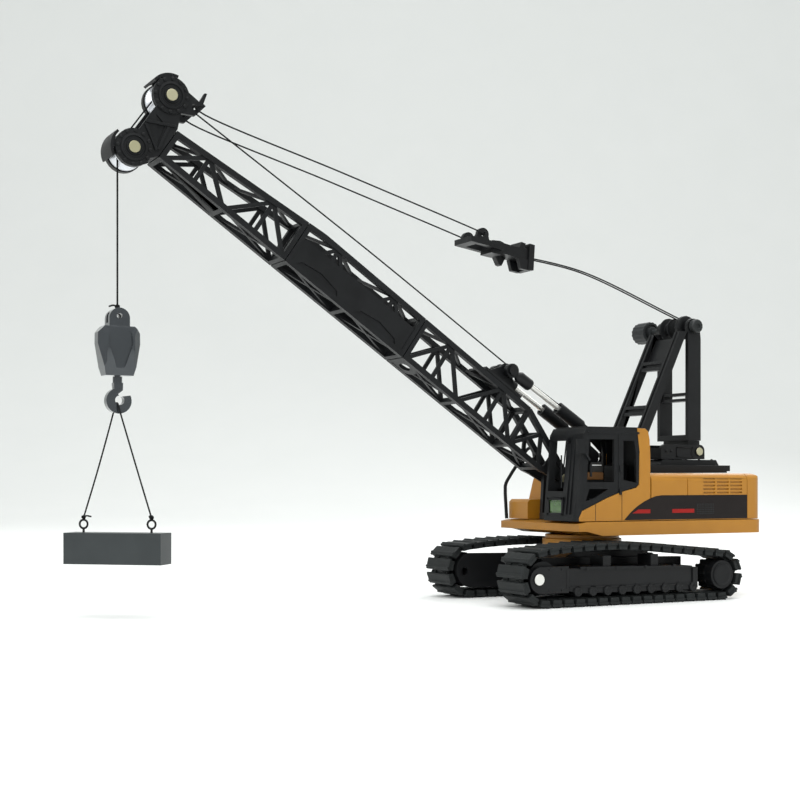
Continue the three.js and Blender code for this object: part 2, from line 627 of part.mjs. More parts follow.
function backstopBracket() {
  const low = topDeckTop + gap;
  const cheek = [[-19.6, low], [-13.6, low], [-1.2, 74.2], [0.2, 76.4], [-0.4, 79.6], [-4.2, 80.4], [-19.6, 69]];
  const plates = [[4.0, 4.9], [-14.5, -13.6]].map((y) => plateXZ(cheek, y));
  const strap = box([-16.2, -13.6], [-14.5, 4.9], [low, 64.2]);
  const pins = [[0.2, 4.5], [-14.1, -9.8]].map((y) => cylinderY(0.9, backstopFoot.x, backstopFoot.z, y, 10));
  return joined([...plates, strap, ...pins]);
}

// ---- boom, in its own frame: X along it from the foot pin, Z square to it ----
function boomTopAt(s) {
  const taperStart = 160;
  const tip = 8.7;
  return s < taperStart ? boomHigh : boomHigh + ((tip - boomHigh) * (s - taperStart)) / (boomEnd - taperStart);
}

const chord = 2.5;
const sideY = boomHalf - chord / 2;

// one bay of lattice between two lower nodes, with its upper node half way
function bay(start, end) {
  const middle = (start + end) / 2;
  const low = boomLow + chord / 2;
  const high = boomTopAt(middle) - chord / 2;
  const bars = [];
  for (const y of [-sideY, sideY]) {
    bars.push(bar([start + 0.6, y, low], [middle, y, high], 1.3, 1.7));
    bars.push(bar([middle, y, high], [end - 0.6, y, low], 1.3, 1.7));
    bars.push(bar([middle, y, low], [middle, y, high], 1.3, 1.7));
  }
  bars.push(bar([start + 1, -sideY, low], [end - 1, sideY, low], 1.5, 1.2));
  bars.push(bar([start + 1, sideY, low], [end - 1, -sideY, low], 1.5, 1.2));
  const topStart = boomTopAt(start) - chord / 2;
  const topEnd = boomTopAt(end) - chord / 2;
  bars.push(bar([start + 1, -sideY, topStart], [middle, sideY, high], 1.3, 1.2));
  bars.push(bar([middle, sideY, high], [end - 1, -sideY, topEnd], 1.3, 1.2));
  return bars;
}

function chords(start, end, stops) {
  const bars = [];
  for (const y of [-sideY, sideY]) {
    bars.push(bar([start, y, boomLow + chord / 2], [end, y, boomLow + chord / 2], chord, chord));
    for (let i = 0; i + 1 < stops.length; i += 1) {
      bars.push(bar([stops[i], y, boomTopAt(stops[i]) - chord / 2],
        [stops[i + 1], y, boomTopAt(stops[i + 1]) - chord / 2], chord, chord));
    }
  }
  return bars;
}

// a ring frame that closes a section's end
function endFrame(s) {
  const high = boomTopAt(s) - chord / 2;
  const low = boomLow + chord / 2;
  const bars = [low, high].map((z) => bar([s, -sideY, z], [s, sideY, z], 2.0, chord, [1, 0, 0]));
  for (const y of [-sideY, sideY]) bars.push(bar([s, y, low], [s, y, high], chord, 2.0));
  return bars;
}

const nodes = [34, 67.5, 101, 135, 169, 202.5, boomEnd];

function boomLower() {
  const end = nodes[2] - 0.2;
  const low = boomLow + chord / 2;
  const high = boomHigh - chord / 2;
  const foot = [];
  for (const y of [-sideY, sideY]) {
    foot.push(bar([0, y, -0.6], [14, y, low], chord, chord));
    foot.push(bar([13.6, y, low], [nodes[0] + 1, y, low], chord, chord));
    foot.push(bar([1.6, y, 2.4], [nodes[0], y, high], chord, chord));
    foot.push(bar([15, y, low], [22, y, 9.6], 1.3, 1.7));
    foot.push(bar([22, y, 9.6], [nodes[0], y, low], 1.3, 1.7));
    foot.push(cylinderY(3.5, 0, 0, [y - chord / 2, y + chord / 2], 20));
    foot.push(plateXZ([[-1, 3], [1, -3.2], [13, -4.6], [12, 8]], [y - 0.7, y + 0.7]));
  }
  foot.push(bar([16, -sideY, low], [nodes[0] - 1, sideY, low], 1.5, 1.2));
  foot.push(bar([16, sideY, low], [nodes[0] - 1, -sideY, low], 1.5, 1.2));
  foot.push(bar([15.6, -sideY, low], [15.6, sideY, low], 2, chord, [1, 0, 0]));
  foot.push(bar([22, -sideY, 9.6], [22, sideY, 9.6], 1.6, 1.6, [1, 0, 0]));
  const body = joined([...foot, ...chords(nodes[0], end, [nodes[0], end]), ...bay(nodes[0], nodes[1]),
    ...bay(nodes[1], nodes[2] - 1.2), ...endFrame(nodes[0]), ...endFrame(end - 1),
    bar([nodes[1], -sideY, low], [nodes[1], sideY, low], 2, chord, [1, 0, 0]), lowerRing(nodes[2] - 6.4)]);
  return body.subtract(cylinderY(1.7, 0, 0, [-12, 12], 16));
}

// the ring plate under the joint of two sections
function lowerRing(s) {
  const ring = new THREE.Shape();
  ring.absellipse(s, 0, 5.6, 7.0, 0, 2 * Math.PI, false);
  const hole = new THREE.Path();
  hole.absellipse(s, 0, 2.6, 3.6, 0, 2 * Math.PI, true);
  ring.holes.push(hole);
  return plateXY(ring, [boomLow + 0.1, boomLow + 1.5], 10);
}

function boomMiddle() {
  const start = nodes[2] + 0.2;
  const end = nodes[4] - 0.2;
  const low = boomLow + chord / 2;
  const panels = [];
  for (const y of [-sideY, sideY]) {
    const plates = [[start, nodes[3] + 12.6, 9.2], [nodes[3] + 0.4, end, 8.9]];
    for (const [a, b, high] of plates) {
      panels.push(plateXZ([[a, boomLow + 0.4], [b - (high === 9.2 ? 12.6 : 0), boomLow + 0.4], [b, high - 2.6],
        [b - 3, high], [a, high]], [y - 0.9, y + 0.9]));
    }
  }
  const pockets = [];
  for (const y of [-sideY - 0.9, sideY + 0.9]) {
    for (const [a, b] of [[start + 6, nodes[3] - 5], [nodes[3] + 6, end - 5]]) {
      pockets.push(plateXZ([[a, -2.4], [b, -2.4], [b - 1.5, -0.4], [(a + b) / 2, 1.2], [a + 1.5, -0.4]],
        [y - 0.5, y + 0.5]));
    }
  }
  const body = joined([...chords(start, end, [start, 160, end]), ...bay(start + 1, nodes[3]), ...bay(nodes[3], end - 1),
    ...endFrame(start + 1), ...endFrame(end - 1), ...panels,
    bar([nodes[3], -sideY, low], [nodes[3], sideY, low], 2, chord, [1, 0, 0])]);
  return cut(body, pockets);
}

function boomUpper() {
  const start = nodes[4] + 0.2;
  const end = nodes[6] - 0.6;
  const low = boomLow + chord / 2;
  return joined([...chords(start, end, [start, end]), ...bay(start + 1, nodes[5]), ...bay(nodes[5], end - 1),
    ...endFrame(start + 1), ...endFrame(end - 1),
    bar([nodes[5], -sideY, low], [nodes[5], sideY, low], 2, chord, [1, 0, 0])]);
}

function boomPivotPin() {
  return turnedY([[0, -8.9], [2.3, -8.9], [2.3, -8.3], [1.35, -8.3], [1.35, 8.3], [2.3, 8.3], [2.3, 8.9], [0, 8.9]],
    0, 0, 14);
}

function rollerBracket() {
  const base = boomHigh + gap;
  const cheek = new THREE.Shape();
  cheek.moveTo(41, base);
  cheek.lineTo(64, base);
  cheek.lineTo(60, base + 2.4);
  cheek.lineTo(rollerPin.s + 2.2, rollerPin.n + 2.2);
  cheek.absarc(rollerPin.s, rollerPin.n, 3.1, Math.PI / 4, Math.PI, false);
  const cheeks = [[-3.7, -2.6], [2.6, 3.7]].map((y) => plateXZ(cheek, y, 5));
  const floor = box([41, 64], [-7.8, 7.8], [base, base + 1.2]);
  const pin = turnedY([[0, -9.4], [2.3, -9.4], [2.3, -8.6], [1.2, -8.6], [1.2, 8.6], [2.3, 8.6], [2.3, 9.4], [0, 9.4]],
    rollerPin.s, rollerPin.n, 14);
  return joined([...cheeks, floor, pin]);
}

function ropeRoller() {
  return turnedY([[1.5, -2.3], [3.9, -2.3], [rollerGroove, -1.2], [rollerGroove, 1.2], [3.9, 2.3], [1.5, 2.3],
    [1.5, -2.3]], rollerPin.s, rollerPin.n, 18);
}

function headFrame() {
  const from = boomEnd - 0.2;
  const cheekOutline = [[from, boomLow], [from, 9.4], [239.2, 17.6], [247.8, 17.6], [248.2, -7], [240.2, -10.4]];
  const lugOutline = [[240.4, 14.6], [233.2, 19.0], [232.0, 25.2], [233.3, 25.4], [234.4, 29.8], [235.3, 29.4],
    [235.0, 24.9], [240.6, 25.0]];
  const pieces = [];
  for (const side of [-1, 1]) {
    const at = (a, b) => [Math.min(side * a, side * b), Math.max(side * a, side * b)];
    pieces.push(plateXZ(cheekOutline, at(5.6, 7.6)));
    pieces.push(cylinderY(7.6, headPin.s, headPin.high, at(5.4, 8.1), 28));
    pieces.push(cylinderY(7.6, headPin.s, headPin.low, at(5.4, 8.1), 28));
    pieces.push(plateXZ(lugOutline, at(5.4, 7.4)));
  }
  pieces.push(box([from, from + 1.6], [-7.6, 7.6], [boomLow, 9.0]));
  pieces.push(box([from, 239], [-7, 7], [boomLow, boomLow + 1.4]));
  pieces.push(ropeGuard(headPin.high, 0.12, 1.35), ropeGuard(headPin.low, -1.05, 0.2));
  const lugHoles = cylinderY(1.25, headLug.s, headLug.n, [-9, 9], 10);
  const pinHoles = [headPin.high, headPin.low].map((n) => cylinderY(1.7, headPin.s, n, [-12, 12], 12));
  const recesses = [-8.1, 7.1].map((y) => plateXZ([[238.6, -1], [240.6, 7.4], [246, 8.6]], [y, y + 1]));
  return cut(joined(pieces), [lugHoles, ...pinHoles, ...recesses]);
}

// a curved guard strip over a pulley, between two angles, with arms back to the cheeks
function ropeGuard(centreN, from, to) {
  const strip = new THREE.Shape();
  strip.absarc(headPin.s, centreN, 9.3, from, to, false);
  strip.absarc(headPin.s, centreN, 8.2, to, from, true);
  const arm = new THREE.Shape();
  const middle = (from + to) / 2;
  arm.absarc(headPin.s, centreN, 8.8, middle - 0.2, middle + 0.2, false);
  arm.absarc(headPin.s, centreN, 6.4, middle + 0.25, middle - 0.25, true);
  return joined([plateXZ(strip, [-7, 7], 5), plateXZ(arm, [5.4, 7], 2), plateXZ(arm, [-7, -5.4], 2)]);
}

function headPulley(n, grooveRadius) {
  return turnedY([[1.65, -5], [7.1, -5], [7.1, -3.4], [grooveRadius + 0.2, -0.9], [grooveRadius, 0],
    [grooveRadius + 0.2, 0.9], [7.1, 3.4], [7.1, 5], [1.65, 5], [1.65, -5]], headPin.s, n, 28);
}

function headPinPiece(n) {
  return turnedY([[0, -9.2], [2.4, -9.2], [2.4, -8.4], [1.35, -8.4], [1.35, 8.4], [2.4, 8.4], [2.4, 9.2], [0, 9.2]],
    headPin.s, n, 14);
}

// ---- luffing gear: rope, bridle, pendants ----
const bridleRear = { x: 26.1, z: 158.9 };
const bridleEar = { along: 31.0, up: 3.0 };
const bridleAngle = THREE.MathUtils.degToRad(9.4);

function bridle() {
  const flange = plateXZ([[0.6, -6.4], [3.6, -6.8], [4.6, 5.4], [1.8, 5.4]], [-5.6, 5.6]);
  const yokeBody = plateXZ([[3, -3], [8, -2.4], [22, -2.2], [22, 2.6], [12, 2.4], [3, 3.4]], [-4.6, 4.6]);
  const prongs = [[-5.2, -2.8], [2.8, 5.2]].map((y) => plateXZ([[3, -2], [9.4, -2.4], [7.2, -7], [2.6, -6.9]], y));
  const tooth = plateXZ([[6.4, 2], [9.4, 2], [8.6, 5.4], [6.2, 5.2]], [-4.6, 4.6]);
  const rearProng = plateXZ([[12.4, -2], [18.6, -2], [15.4, -6.2], [14, -6.4]], [-4.6, -1.2]);
  const block = plateXZ([[18, -3.2], [24, -3.4], [24, 2.4], [20, 3], [18, 2.6]], [-4.8, 4.8]);
  const arms = [[-7.6, -4.6], [4.6, 7.6]].map((y) => plateXZ([[19, -1.4], [36.6, -1.6], [37, 0.9], [19, 1.4]], y));
  const frontBar = plateXZ([[32.6, -1.6], [36.6, -1.6], [37, 0.9], [32.6, 1.0]], [-7.6, 7.6]);
  const backBar = plateXZ([[19, -1.4], [24.4, -1.5], [24.4, 1.3], [19, 1.4]], [-7.6, 7.6]);
  const ears = [-7.6, 5.4].map((y) => {
    const ear = new THREE.Shape();
    ear.moveTo(27, 0);
    ear.lineTo(35, 0);
    ear.absarc(bridleEar.along, bridleEar.up, 2.9, -0.1, Math.PI + 0.1, false);
    return plateXZ(ear, [y, y + 2.2], 7);
  });
  const body = joined([flange, yokeBody, ...prongs, tooth, rearProng, block, ...arms, frontBar, backBar, ...ears]);
  return cut(body, [cylinderY(1.1, bridleEar.along, bridleEar.up, [-12, 12], 12),
    box([-1, 5], [-2.2, 2.2], [-1.1, 1.1])]);
}

// ---- hoist block, hook and load ----
const dropX = boomFoot.x + headPin.s * Math.cos(boomAngle) - headPin.low * Math.sin(boomAngle)
  + pulleyGroove.low + ropeLift;
const blockTop = 124.6;

function hookBlock() {
  const profile = [[-5.7, 97.4], [5.7, 97.4], [8.7, 110.2], [8.6, 114.6], [6.2, 117.2], [-6.2, 117.2], [-8.6, 114.6],
    [-8.7, 110.2]];
    const body = plateXZ(profile, [-5.2, 5.2]);
  const bevelled = alongX(outline([[-3.2, 97], [3.2, 97], [5.2, 103], [5.2, 113], [3.6, 117.3], [-3.6, 117.3],
    [-5.2, 113], [-5.2, 103]]), [-9, 9]);
  const corners = plateXY([[-8.9, -2.2], [-5.6, -5.3], [5.6, -5.3], [8.9, -2.2], [8.9, 2.2], [5.6, 5.3], [-5.6, 5.3],
    [-8.9, 2.2]], [96, 118]);
  const panel = [[-1.6, 100.4], [1.6, 100.4], [5.0, 110.2], [4.6, 114.4], [3.0, 115.8], [-3.0, 115.8], [-4.6, 114.4],
    [-5.0, 110.2]];
  const pockets = [[4.2, 6], [-6, -4.2]].map((y) => plateXZ(panel, y));
  const lug = new THREE.Shape();
  lug.moveTo(-4.2, 116);
  lug.lineTo(4.2, 116);
  lug.lineTo(4.2, 120.4);
  lug.absarc(0, 120.4, 4.2, 0, Math.PI, false);
  const block = joined([body.intersect(bevelled).intersect(corners), plateXZ(lug, [-3.4, 3.4], 8)]);
  return cut(block, [...pockets, box([-5, 5], [-1.1, 1.1], [118.6, 122.9]), cylinderY(1.2, 0, 121.3, [-4, 4], 12),
    cylinderZ(1.5, 0, 0, [96, 102], 16)]);
}

function hook() {
  const centre = { x: -0.2, z: 87.4 };
  const bowl = new THREE.Shape();
  bowl.absarc(centre.x, centre.z, 5.2, Math.PI * 0.86, Math.PI * 2.38, false);
  bowl.absarc(centre.x - 0.3, centre.z + 0.2, 1.9, Math.PI * 2.45, Math.PI * 0.7, true);
  const neck = plateXZ([[1.6, 91.2], [2.9, 90.4], [3.6, 89], [1.2, 89.2], [-1.8, 91.6], [-1.9, 94.6], [1.9, 94.6]],
    [-1.6, 1.6]);
  const shank = cylinderZ(1.9, 0, 0, [92.4, 97.1], 16).add(cylinderZ(1.2, 0, 0, [92.4, 101.4], 12));
  return joined([plateXZ(bowl, [-1.7, 1.7], 12), neck, shank]);
}

const load = { length: 41.8, depth: 11, low: 21.8, high: 34.4, eyes: 14.7, turn: THREE.MathUtils.degToRad(-41) };

const eyeCentre = load.high + 3.4;
const eyeOuter = 2.2;

function eyeScrew(along) {
  const ring = new THREE.TorusGeometry(1.75, 0.45, 6, 14);
  ring.rotateX(Math.PI / 2);
  ring.translate(along, 0, eyeCentre);
  return solid(ring).add(cylinderZ(0.5, along, 0, [load.high - 3, load.high + 1.5], 8));
}

function loadBlock() {
  const block = box([-load.length / 2, load.length / 2], [-load.depth / 2, load.depth / 2], [load.low, load.high]);
  return joined([block, eyeScrew(load.eyes), eyeScrew(-load.eyes)]);
}

// ---- ropes, in the crane's frame ----
// a point of the boom's frame as a point of the crane's frame
function onBoom(s, y, n) {
  return [
    boomFoot.x + s * Math.cos(boomAngle) - n * Math.sin(boomAngle),
    boomY + y,
    boomFoot.z + s * Math.sin(boomAngle) + n * Math.cos(boomAngle),
  ];
}

function onBridle(along, y, up) {
  return [
    bridleRear.x + along * Math.cos(bridleAngle) - up * Math.sin(bridleAngle),
    boomY + y,
    bridleRear.z + along * Math.sin(bridleAngle) + up * Math.cos(bridleAngle),
  ];
}

// doubled from the drum round the bar in the bridle's rear flange
function luffingRope() {
  const radius = luffWinding + ropeLift;
  const start = [gantryAxle.x - radius * 0.261, gantryAxle.z + radius * 0.965];
  const strand = 1.2;
  return tube([
    [start[0], boomY + strand, start[1]],
    onBridle(-30, strand, 0.6),
    onBridle(1.2, strand, 0),
    onBridle(2.1, strand * 0.7, 0),
    onBridle(2.5, 0, 0),
    onBridle(2.1, -strand * 0.7, 0),
    onBridle(1.2, -strand, 0),
    onBridle(-30, -strand, 0.6),
    [start[0], boomY - strand, start[1]],
  ], ropeRadius);
}

// through the bridle's ear, along the boom and through the lug at the head
function pendant(side) {
  const ear = onBridle(bridleEar.along + 3.4, side * 8.5, bridleEar.up + 0.5);
  const lug = onBoom(headLug.s - 3, side * 8.3, headLug.n - 0.5);
  return tube([
    onBridle(bridleEar.along, side * 4.4, bridleEar.up),
    onBridle(bridleEar.along, side * 7.8, bridleEar.up),
    onBridle(bridleEar.along + 0.9, side * 8.4, bridleEar.up + 0.1),
    ear,
    ear.map((value, i) => (value + lug[i]) / 2),
    lug,
    onBoom(headLug.s - 0.7, side * 8.2, headLug.n),
    onBoom(headLug.s, side * 7.6, headLug.n),
    onBoom(headLug.s, side * 4.6, headLug.n),
  ], ropeRadius);
}

function hoistRopeLow() {
  const radius = hoistWinding + ropeLift;
  return tube([
    [winch.x - radius * 0.527, boomY, winch.z + radius * 0.85],
    onBoom(rollerPin.s - gap, 0, rollerPin.n + rollerGroove + ropeLift),
  ], ropeRadius);
}

// from the roller, over the high pulley and down the front of the low one
function hoistRopeHigh() {
  const points = [
    onBoom(rollerPin.s, 0, rollerPin.n + rollerGroove + ropeLift),
    onBoom(140, 0, 26.5),
    onBoom(headPin.s - 8, 0, headPin.high + pulleyGroove.high + ropeLift + 0.25),
  ];
  const round = (centre, radius, from, to, count) => {
    for (let i = 0; i <= count; i += 1) {
      const angle = THREE.MathUtils.degToRad(from + ((to - from) * i) / count);
      points.push(onBoom(headPin.s + radius * Math.cos(angle), 0, centre + radius * Math.sin(angle)));
    }
  };
  round(headPin.high, pulleyGroove.high + ropeLift, 88, 2, 5);
  round(headPin.low, pulleyGroove.low + ropeLift, 2, -33, 3);
  return tube(points, ropeRadius);
}

const lowPin = onBoom(headPin.s, 0, headPin.low);

function dropRope() {
  return tube([[dropX, boomY, lowPin[2] - 0.3], [dropX, boomY, blockTop + gap]], 0.4);
}

function sling() {
  const foot = eyeCentre + eyeOuter + gap + 0.1;
  const across = new THREE.Vector2(Math.cos(load.turn), Math.sin(load.turn));
  const leg = (along, z) => [dropX + across.x * along, boomY + across.y * along, z];
  return tube([leg(load.eyes, foot), leg(load.eyes * 0.55, 61), [dropX + 0.5, boomY - 2.9, 84],
    [dropX + 0.4, boomY - 1.8, 86.25], [dropX + 0.4, boomY, 86.5], [dropX + 0.4, boomY + 1.8, 86.25],
    [dropX + 0.1, boomY + 2.9, 84], leg(-load.eyes * 0.55, 61), leg(-load.eyes, foot)], ropeRadius);
}

// ---- assembly ----
piece('car_body', carBody(), 'cast');
for (const [side, word] of [[1, 'left'], [-1, 'right']]) {
  piece(`track_frame_${word}`, trackFrame(side), 'black');
  piece(`track_belt_${word}`, trackBelt(side), 'rubber');
  piece(`idler_${word}`, idlerWheel(side), 'black');
  piece(`nose_bolt_${word}`, noseBoltPiece(side), 'steel');
  piece(`sprocket_${word}`, sprocketWheel(side), 'black');
}
piece('slew_ring', slewRing(), 'yellow');
piece('deck', deckPlate(), 'yellow');
piece('engine_cover', engineCover(), 'yellow');
piece('counterweight', counterweight(), 'yellow');
piece('top_deck', topDeck(), 'black');
piece('tool_box', toolBox(), 'yellow');
piece('boom_foot_bracket', boomFootBracket(), 'black');
piece('handrail', handrail(), 'black');
piece('cab_frame', cabFrame(), 'black');
piece('cab_skirt', cabSkirt(), 'yellow');
piece('cab_seat', cabSeat(), 'seat');
piece('cab_lower_pane', lowerPane(), 'green');
piece('mirror', mirror(), 'black');
piece('gantry_base', gantryBase(), 'black');
piece('gantry_post', gantryPost(), 'black');
piece('gantry_leg', gantryLeg(), 'black');
piece('gantry_foot_pin', footPin(), 'brass');
piece('luffing_drum', luffingDrum(), 'black');
piece('luffing_knob', luffingAxle(), 'knob');
piece('winch_bracket', winchBracket(), 'black');
piece('winch_drum', winchDrum(), 'black');
piece('winch_knob', winchAxle(), 'knob');
piece('backstop_bracket', backstopBracket(), 'black');
for (const [sideways, word] of [[backstopOffset, 'left'], [-backstopOffset, 'right']]) {
  const group = backstopGroup(sideways);
  piece(`backstop_barrel_${word}`, backstopBarrel(), 'black', group);
  piece(`backstop_rod_${word}`, backstopRod(), 'steel', group);
}
piece('boom_lower', boomLower(), 'black', boomGroup);
piece('boom_middle', boomMiddle(), 'black', boomGroup);
piece('boom_upper', boomUpper(), 'black', boomGroup);
piece('boom_pivot_pin', boomPivotPin(), 'brass', boomGroup);
piece('roller_bracket', rollerBracket(), 'black', boomGroup);
piece('rope_roller', ropeRoller(), 'black', boomGroup);
piece('head_frame', headFrame(), 'black', boomGroup);
piece('head_pulley_high', headPulley(headPin.high, pulleyGroove.high), 'pulley', boomGroup);
piece('head_pulley_low', headPulley(headPin.low, pulleyGroove.low), 'pulley', boomGroup);
piece('head_pin_high', headPinPiece(headPin.high), 'brass', boomGroup);
piece('head_pin_low', headPinPiece(headPin.low), 'brass', boomGroup);

const bridleGroup = new THREE.Group();
bridleGroup.position.set(bridleRear.x, boomY, bridleRear.z);
bridleGroup.rotation.y = -bridleAngle;
crane.add(bridleGroup);
piece('bridle', bridle(), 'black', bridleGroup);

const hangingGroup = new THREE.Group();
hangingGroup.position.set(dropX, boomY, 0);
crane.add(hangingGroup);
piece('hook_block', hookBlock(), 'block', hangingGroup);
piece('hook', hook(), 'block', hangingGroup);

const loadGroup = new THREE.Group();
loadGroup.position.set(dropX, boomY, 0);
loadGroup.rotation.z = load.turn;
crane.add(loadGroup);
piece('load_block', loadBlock(), 'slate', loadGroup);

// ropes
const ropes = {
  luffing_rope: luffingRope(),
  pendant_left: pendant(1),
  pendant_right: pendant(-1),
  hoist_rope_low: hoistRopeLow(),
  hoist_rope_high: hoistRopeHigh(),
  drop_rope: dropRope(),
  sling: sling(),
};
for (const [name, body] of Object.entries(ropes)) piece(name, body, 'string');

const extent = new THREE.Box3().setFromObject(crane);
crane.position.set(-(extent.min.x + extent.max.x) / 2, -(extent.min.y + extent.max.y) / 2, -extent.min.z);

export default crane;
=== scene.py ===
import json
import math

import bmesh
import bpy
from mathutils import Matrix, Vector


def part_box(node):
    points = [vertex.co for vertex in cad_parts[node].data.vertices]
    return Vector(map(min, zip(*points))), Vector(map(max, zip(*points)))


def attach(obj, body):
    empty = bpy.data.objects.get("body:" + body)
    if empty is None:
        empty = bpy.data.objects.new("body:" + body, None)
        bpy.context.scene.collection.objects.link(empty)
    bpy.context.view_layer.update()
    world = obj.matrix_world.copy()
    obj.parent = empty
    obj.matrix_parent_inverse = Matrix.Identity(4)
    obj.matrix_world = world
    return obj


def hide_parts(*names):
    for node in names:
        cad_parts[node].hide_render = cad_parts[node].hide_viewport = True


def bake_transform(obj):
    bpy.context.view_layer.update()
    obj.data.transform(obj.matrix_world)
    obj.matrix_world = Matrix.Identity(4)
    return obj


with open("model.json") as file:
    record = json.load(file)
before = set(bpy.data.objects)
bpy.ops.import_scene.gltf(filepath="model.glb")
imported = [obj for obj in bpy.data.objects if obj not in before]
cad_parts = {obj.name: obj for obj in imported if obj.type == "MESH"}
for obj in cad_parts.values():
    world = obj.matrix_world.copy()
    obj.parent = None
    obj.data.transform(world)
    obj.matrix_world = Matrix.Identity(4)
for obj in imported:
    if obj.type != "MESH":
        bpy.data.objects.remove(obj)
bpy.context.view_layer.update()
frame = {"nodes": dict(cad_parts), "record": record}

# Sizes below are millimetres from the slewing axis on the ground: +X boom, +Y cab side, +Z up
deckRear = -83.6
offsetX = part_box("deck")[0].x * 1000 - deckRear
boomY = -4.8
boomAngle = math.radians(34.5)
boomFoot = Vector((11.8, boomY, 56.2))
headPin = {"s": 245.6, "high": 18.9, "low": -8.5}
headLug = {"s": 235.6, "n": 21.8}
rollerPin = {"s": 51.8, "n": 24.3}
gantryAxle = Vector((-61.4, boomY, 130.6))
winch = Vector((-21.5, boomY, 67.6))
idler = {"x": 48.0, "z": 13.1, "r": 13.1}
sprocket = {"x": -49.4, "z": 11.8, "r": 11.8}
bridleRear = Vector((26.1, boomY, 158.9))
bridleAngle = math.radians(9.4)
bridleEar = {"along": 31.0, "up": 3.0}
ropeLift = 0.65
pulleyGroove = {"high": 3.0, "low": 3.8}
dropX = boomFoot.x + headPin["s"] * math.cos(boomAngle) - headPin["low"] * math.sin(boomAngle) \
    + pulleyGroove["low"] + ropeLift
blockTop = 124.6
load = {"top": 34.4, "eyeRise": 5.6, "eyes": 14.7, "turn": math.radians(-41)}
backstopFoot = Vector((-3, boomY, 77.5))
viewHeading = math.radians(27.93)


def toModel(point):
    return Vector(((point[0] + offsetX) / 1000, point[1] / 1000, point[2] / 1000))


def onBoom(s, y, n):
    return Vector((
        boomFoot.x + s * math.cos(boomAngle) - n * math.sin(boomAngle),
        boomY + y,
        boomFoot.z + s * math.sin(boomAngle) + n * math.cos(boomAngle),
    ))


def onBridle(along, y, up):
    return Vector((
        bridleRear.x + along * math.cos(bridleAngle) - up * math.sin(bridleAngle),
        boomY + y,
        bridleRear.z + along * math.sin(bridleAngle) + up * math.cos(bridleAngle),
    ))


# Materials
def nodeTree(name):
    material = bpy.data.materials.new(name)
    material.use_nodes = True
    tree = material.node_tree
    shader = tree.nodes["Principled BSDF"]
    return material, tree, shader


def addNode(tree, kind, **values):
    node = tree.nodes.new(kind)
    for key, value in values.items():
        if hasattr(node, key):
            setattr(node, key, value)
        else:
            node.inputs[key.replace("_", " ")].default_value = value
    return node


def noise(tree, scale, detail):
    place = addNode(tree, "ShaderNodeTexCoord")
    texture = addNode(tree, "ShaderNodeTexNoise", Scale=scale, Detail=detail)
    tree.links.new(place.outputs["Object"], texture.inputs["Vector"])
    return texture.outputs["Fac"]


def remap(tree, source, low, high, fromLow=0.3, fromHigh=0.7):
    node = addNode(tree, "ShaderNodeMapRange")
    node.inputs["From Min"].default_value = fromLow
    node.inputs["From Max"].default_value = fromHigh
    node.inputs["To Min"].default_value = low
    node.inputs["To Max"].default_value = high
    tree.links.new(source, node.inputs["Value"])
    return node.outputs["Result"]


def mixColours(tree, factor, first, second):
    node = addNode(tree, "ShaderNodeMix", data_type="RGBA")
    for socket, value in (("A", first), ("B", second)):
        target = [i for i in node.inputs if i.name == socket and i.type == "RGBA"][0]
        if isinstance(value, tuple):
            target.default_value = (*value, 1)
        else:
            tree.links.new(value, target)
    tree.links.new(factor, node.inputs["Factor"])
    return [o for o in node.outputs if o.type == "RGBA"][0]


def bump(tree, height, strength, distance, normal=None):
    node = addNode(tree, "ShaderNodeBump")
    node.inputs["Strength"].default_value = strength
    node.inputs["Distance"].default_value = distance
    tree.links.new(height, node.inputs["Height"])
    if normal:
        tree.links.new(normal, node.inputs["Normal"])
    return node.outputs["Normal"]


surfaceDefaults = {"patch": 60, "grain": 2600, "grainStrength": 0.25, "grainDepth": 0.00004,
                   "waveStrength": 0.02, "waveDepth": 0.0002, "metallic": 0.0, "coat": 0.0,
                   "coatRoughness": 0.2, "specular": 0.5}


# Cast, moulded and painted surfaces: two close shades, a broad change of gloss and a fine grain
def surfaceMaterial(name, finish):
    settings = {**surfaceDefaults, **finish}
    material, tree, shader = nodeTree(name)
    broad = noise(tree, settings["patch"], 3)
    fine = noise(tree, settings["grain"], 2)
    colour = mixColours(tree, remap(tree, broad, 0, 1), settings["colour"], settings["shade"])
    tree.links.new(colour, shader.inputs["Base Color"])
    low, high = settings["roughness"]
    tree.links.new(remap(tree, broad, low, high), shader.inputs["Roughness"])
    rough = bump(tree, fine, settings["grainStrength"], settings["grainDepth"])
    wavy = bump(tree, broad, settings["waveStrength"], settings["waveDepth"], rough)
    tree.links.new(wavy, shader.inputs["Normal"])
    shader.inputs["Metallic"].default_value = settings["metallic"]
    shader.inputs["Coat Weight"].default_value = settings["coat"]
    shader.inputs["Coat Roughness"].default_value = settings["coatRoughness"]
    shader.inputs["Specular IOR Level"].default_value = settings["specular"]
    return material


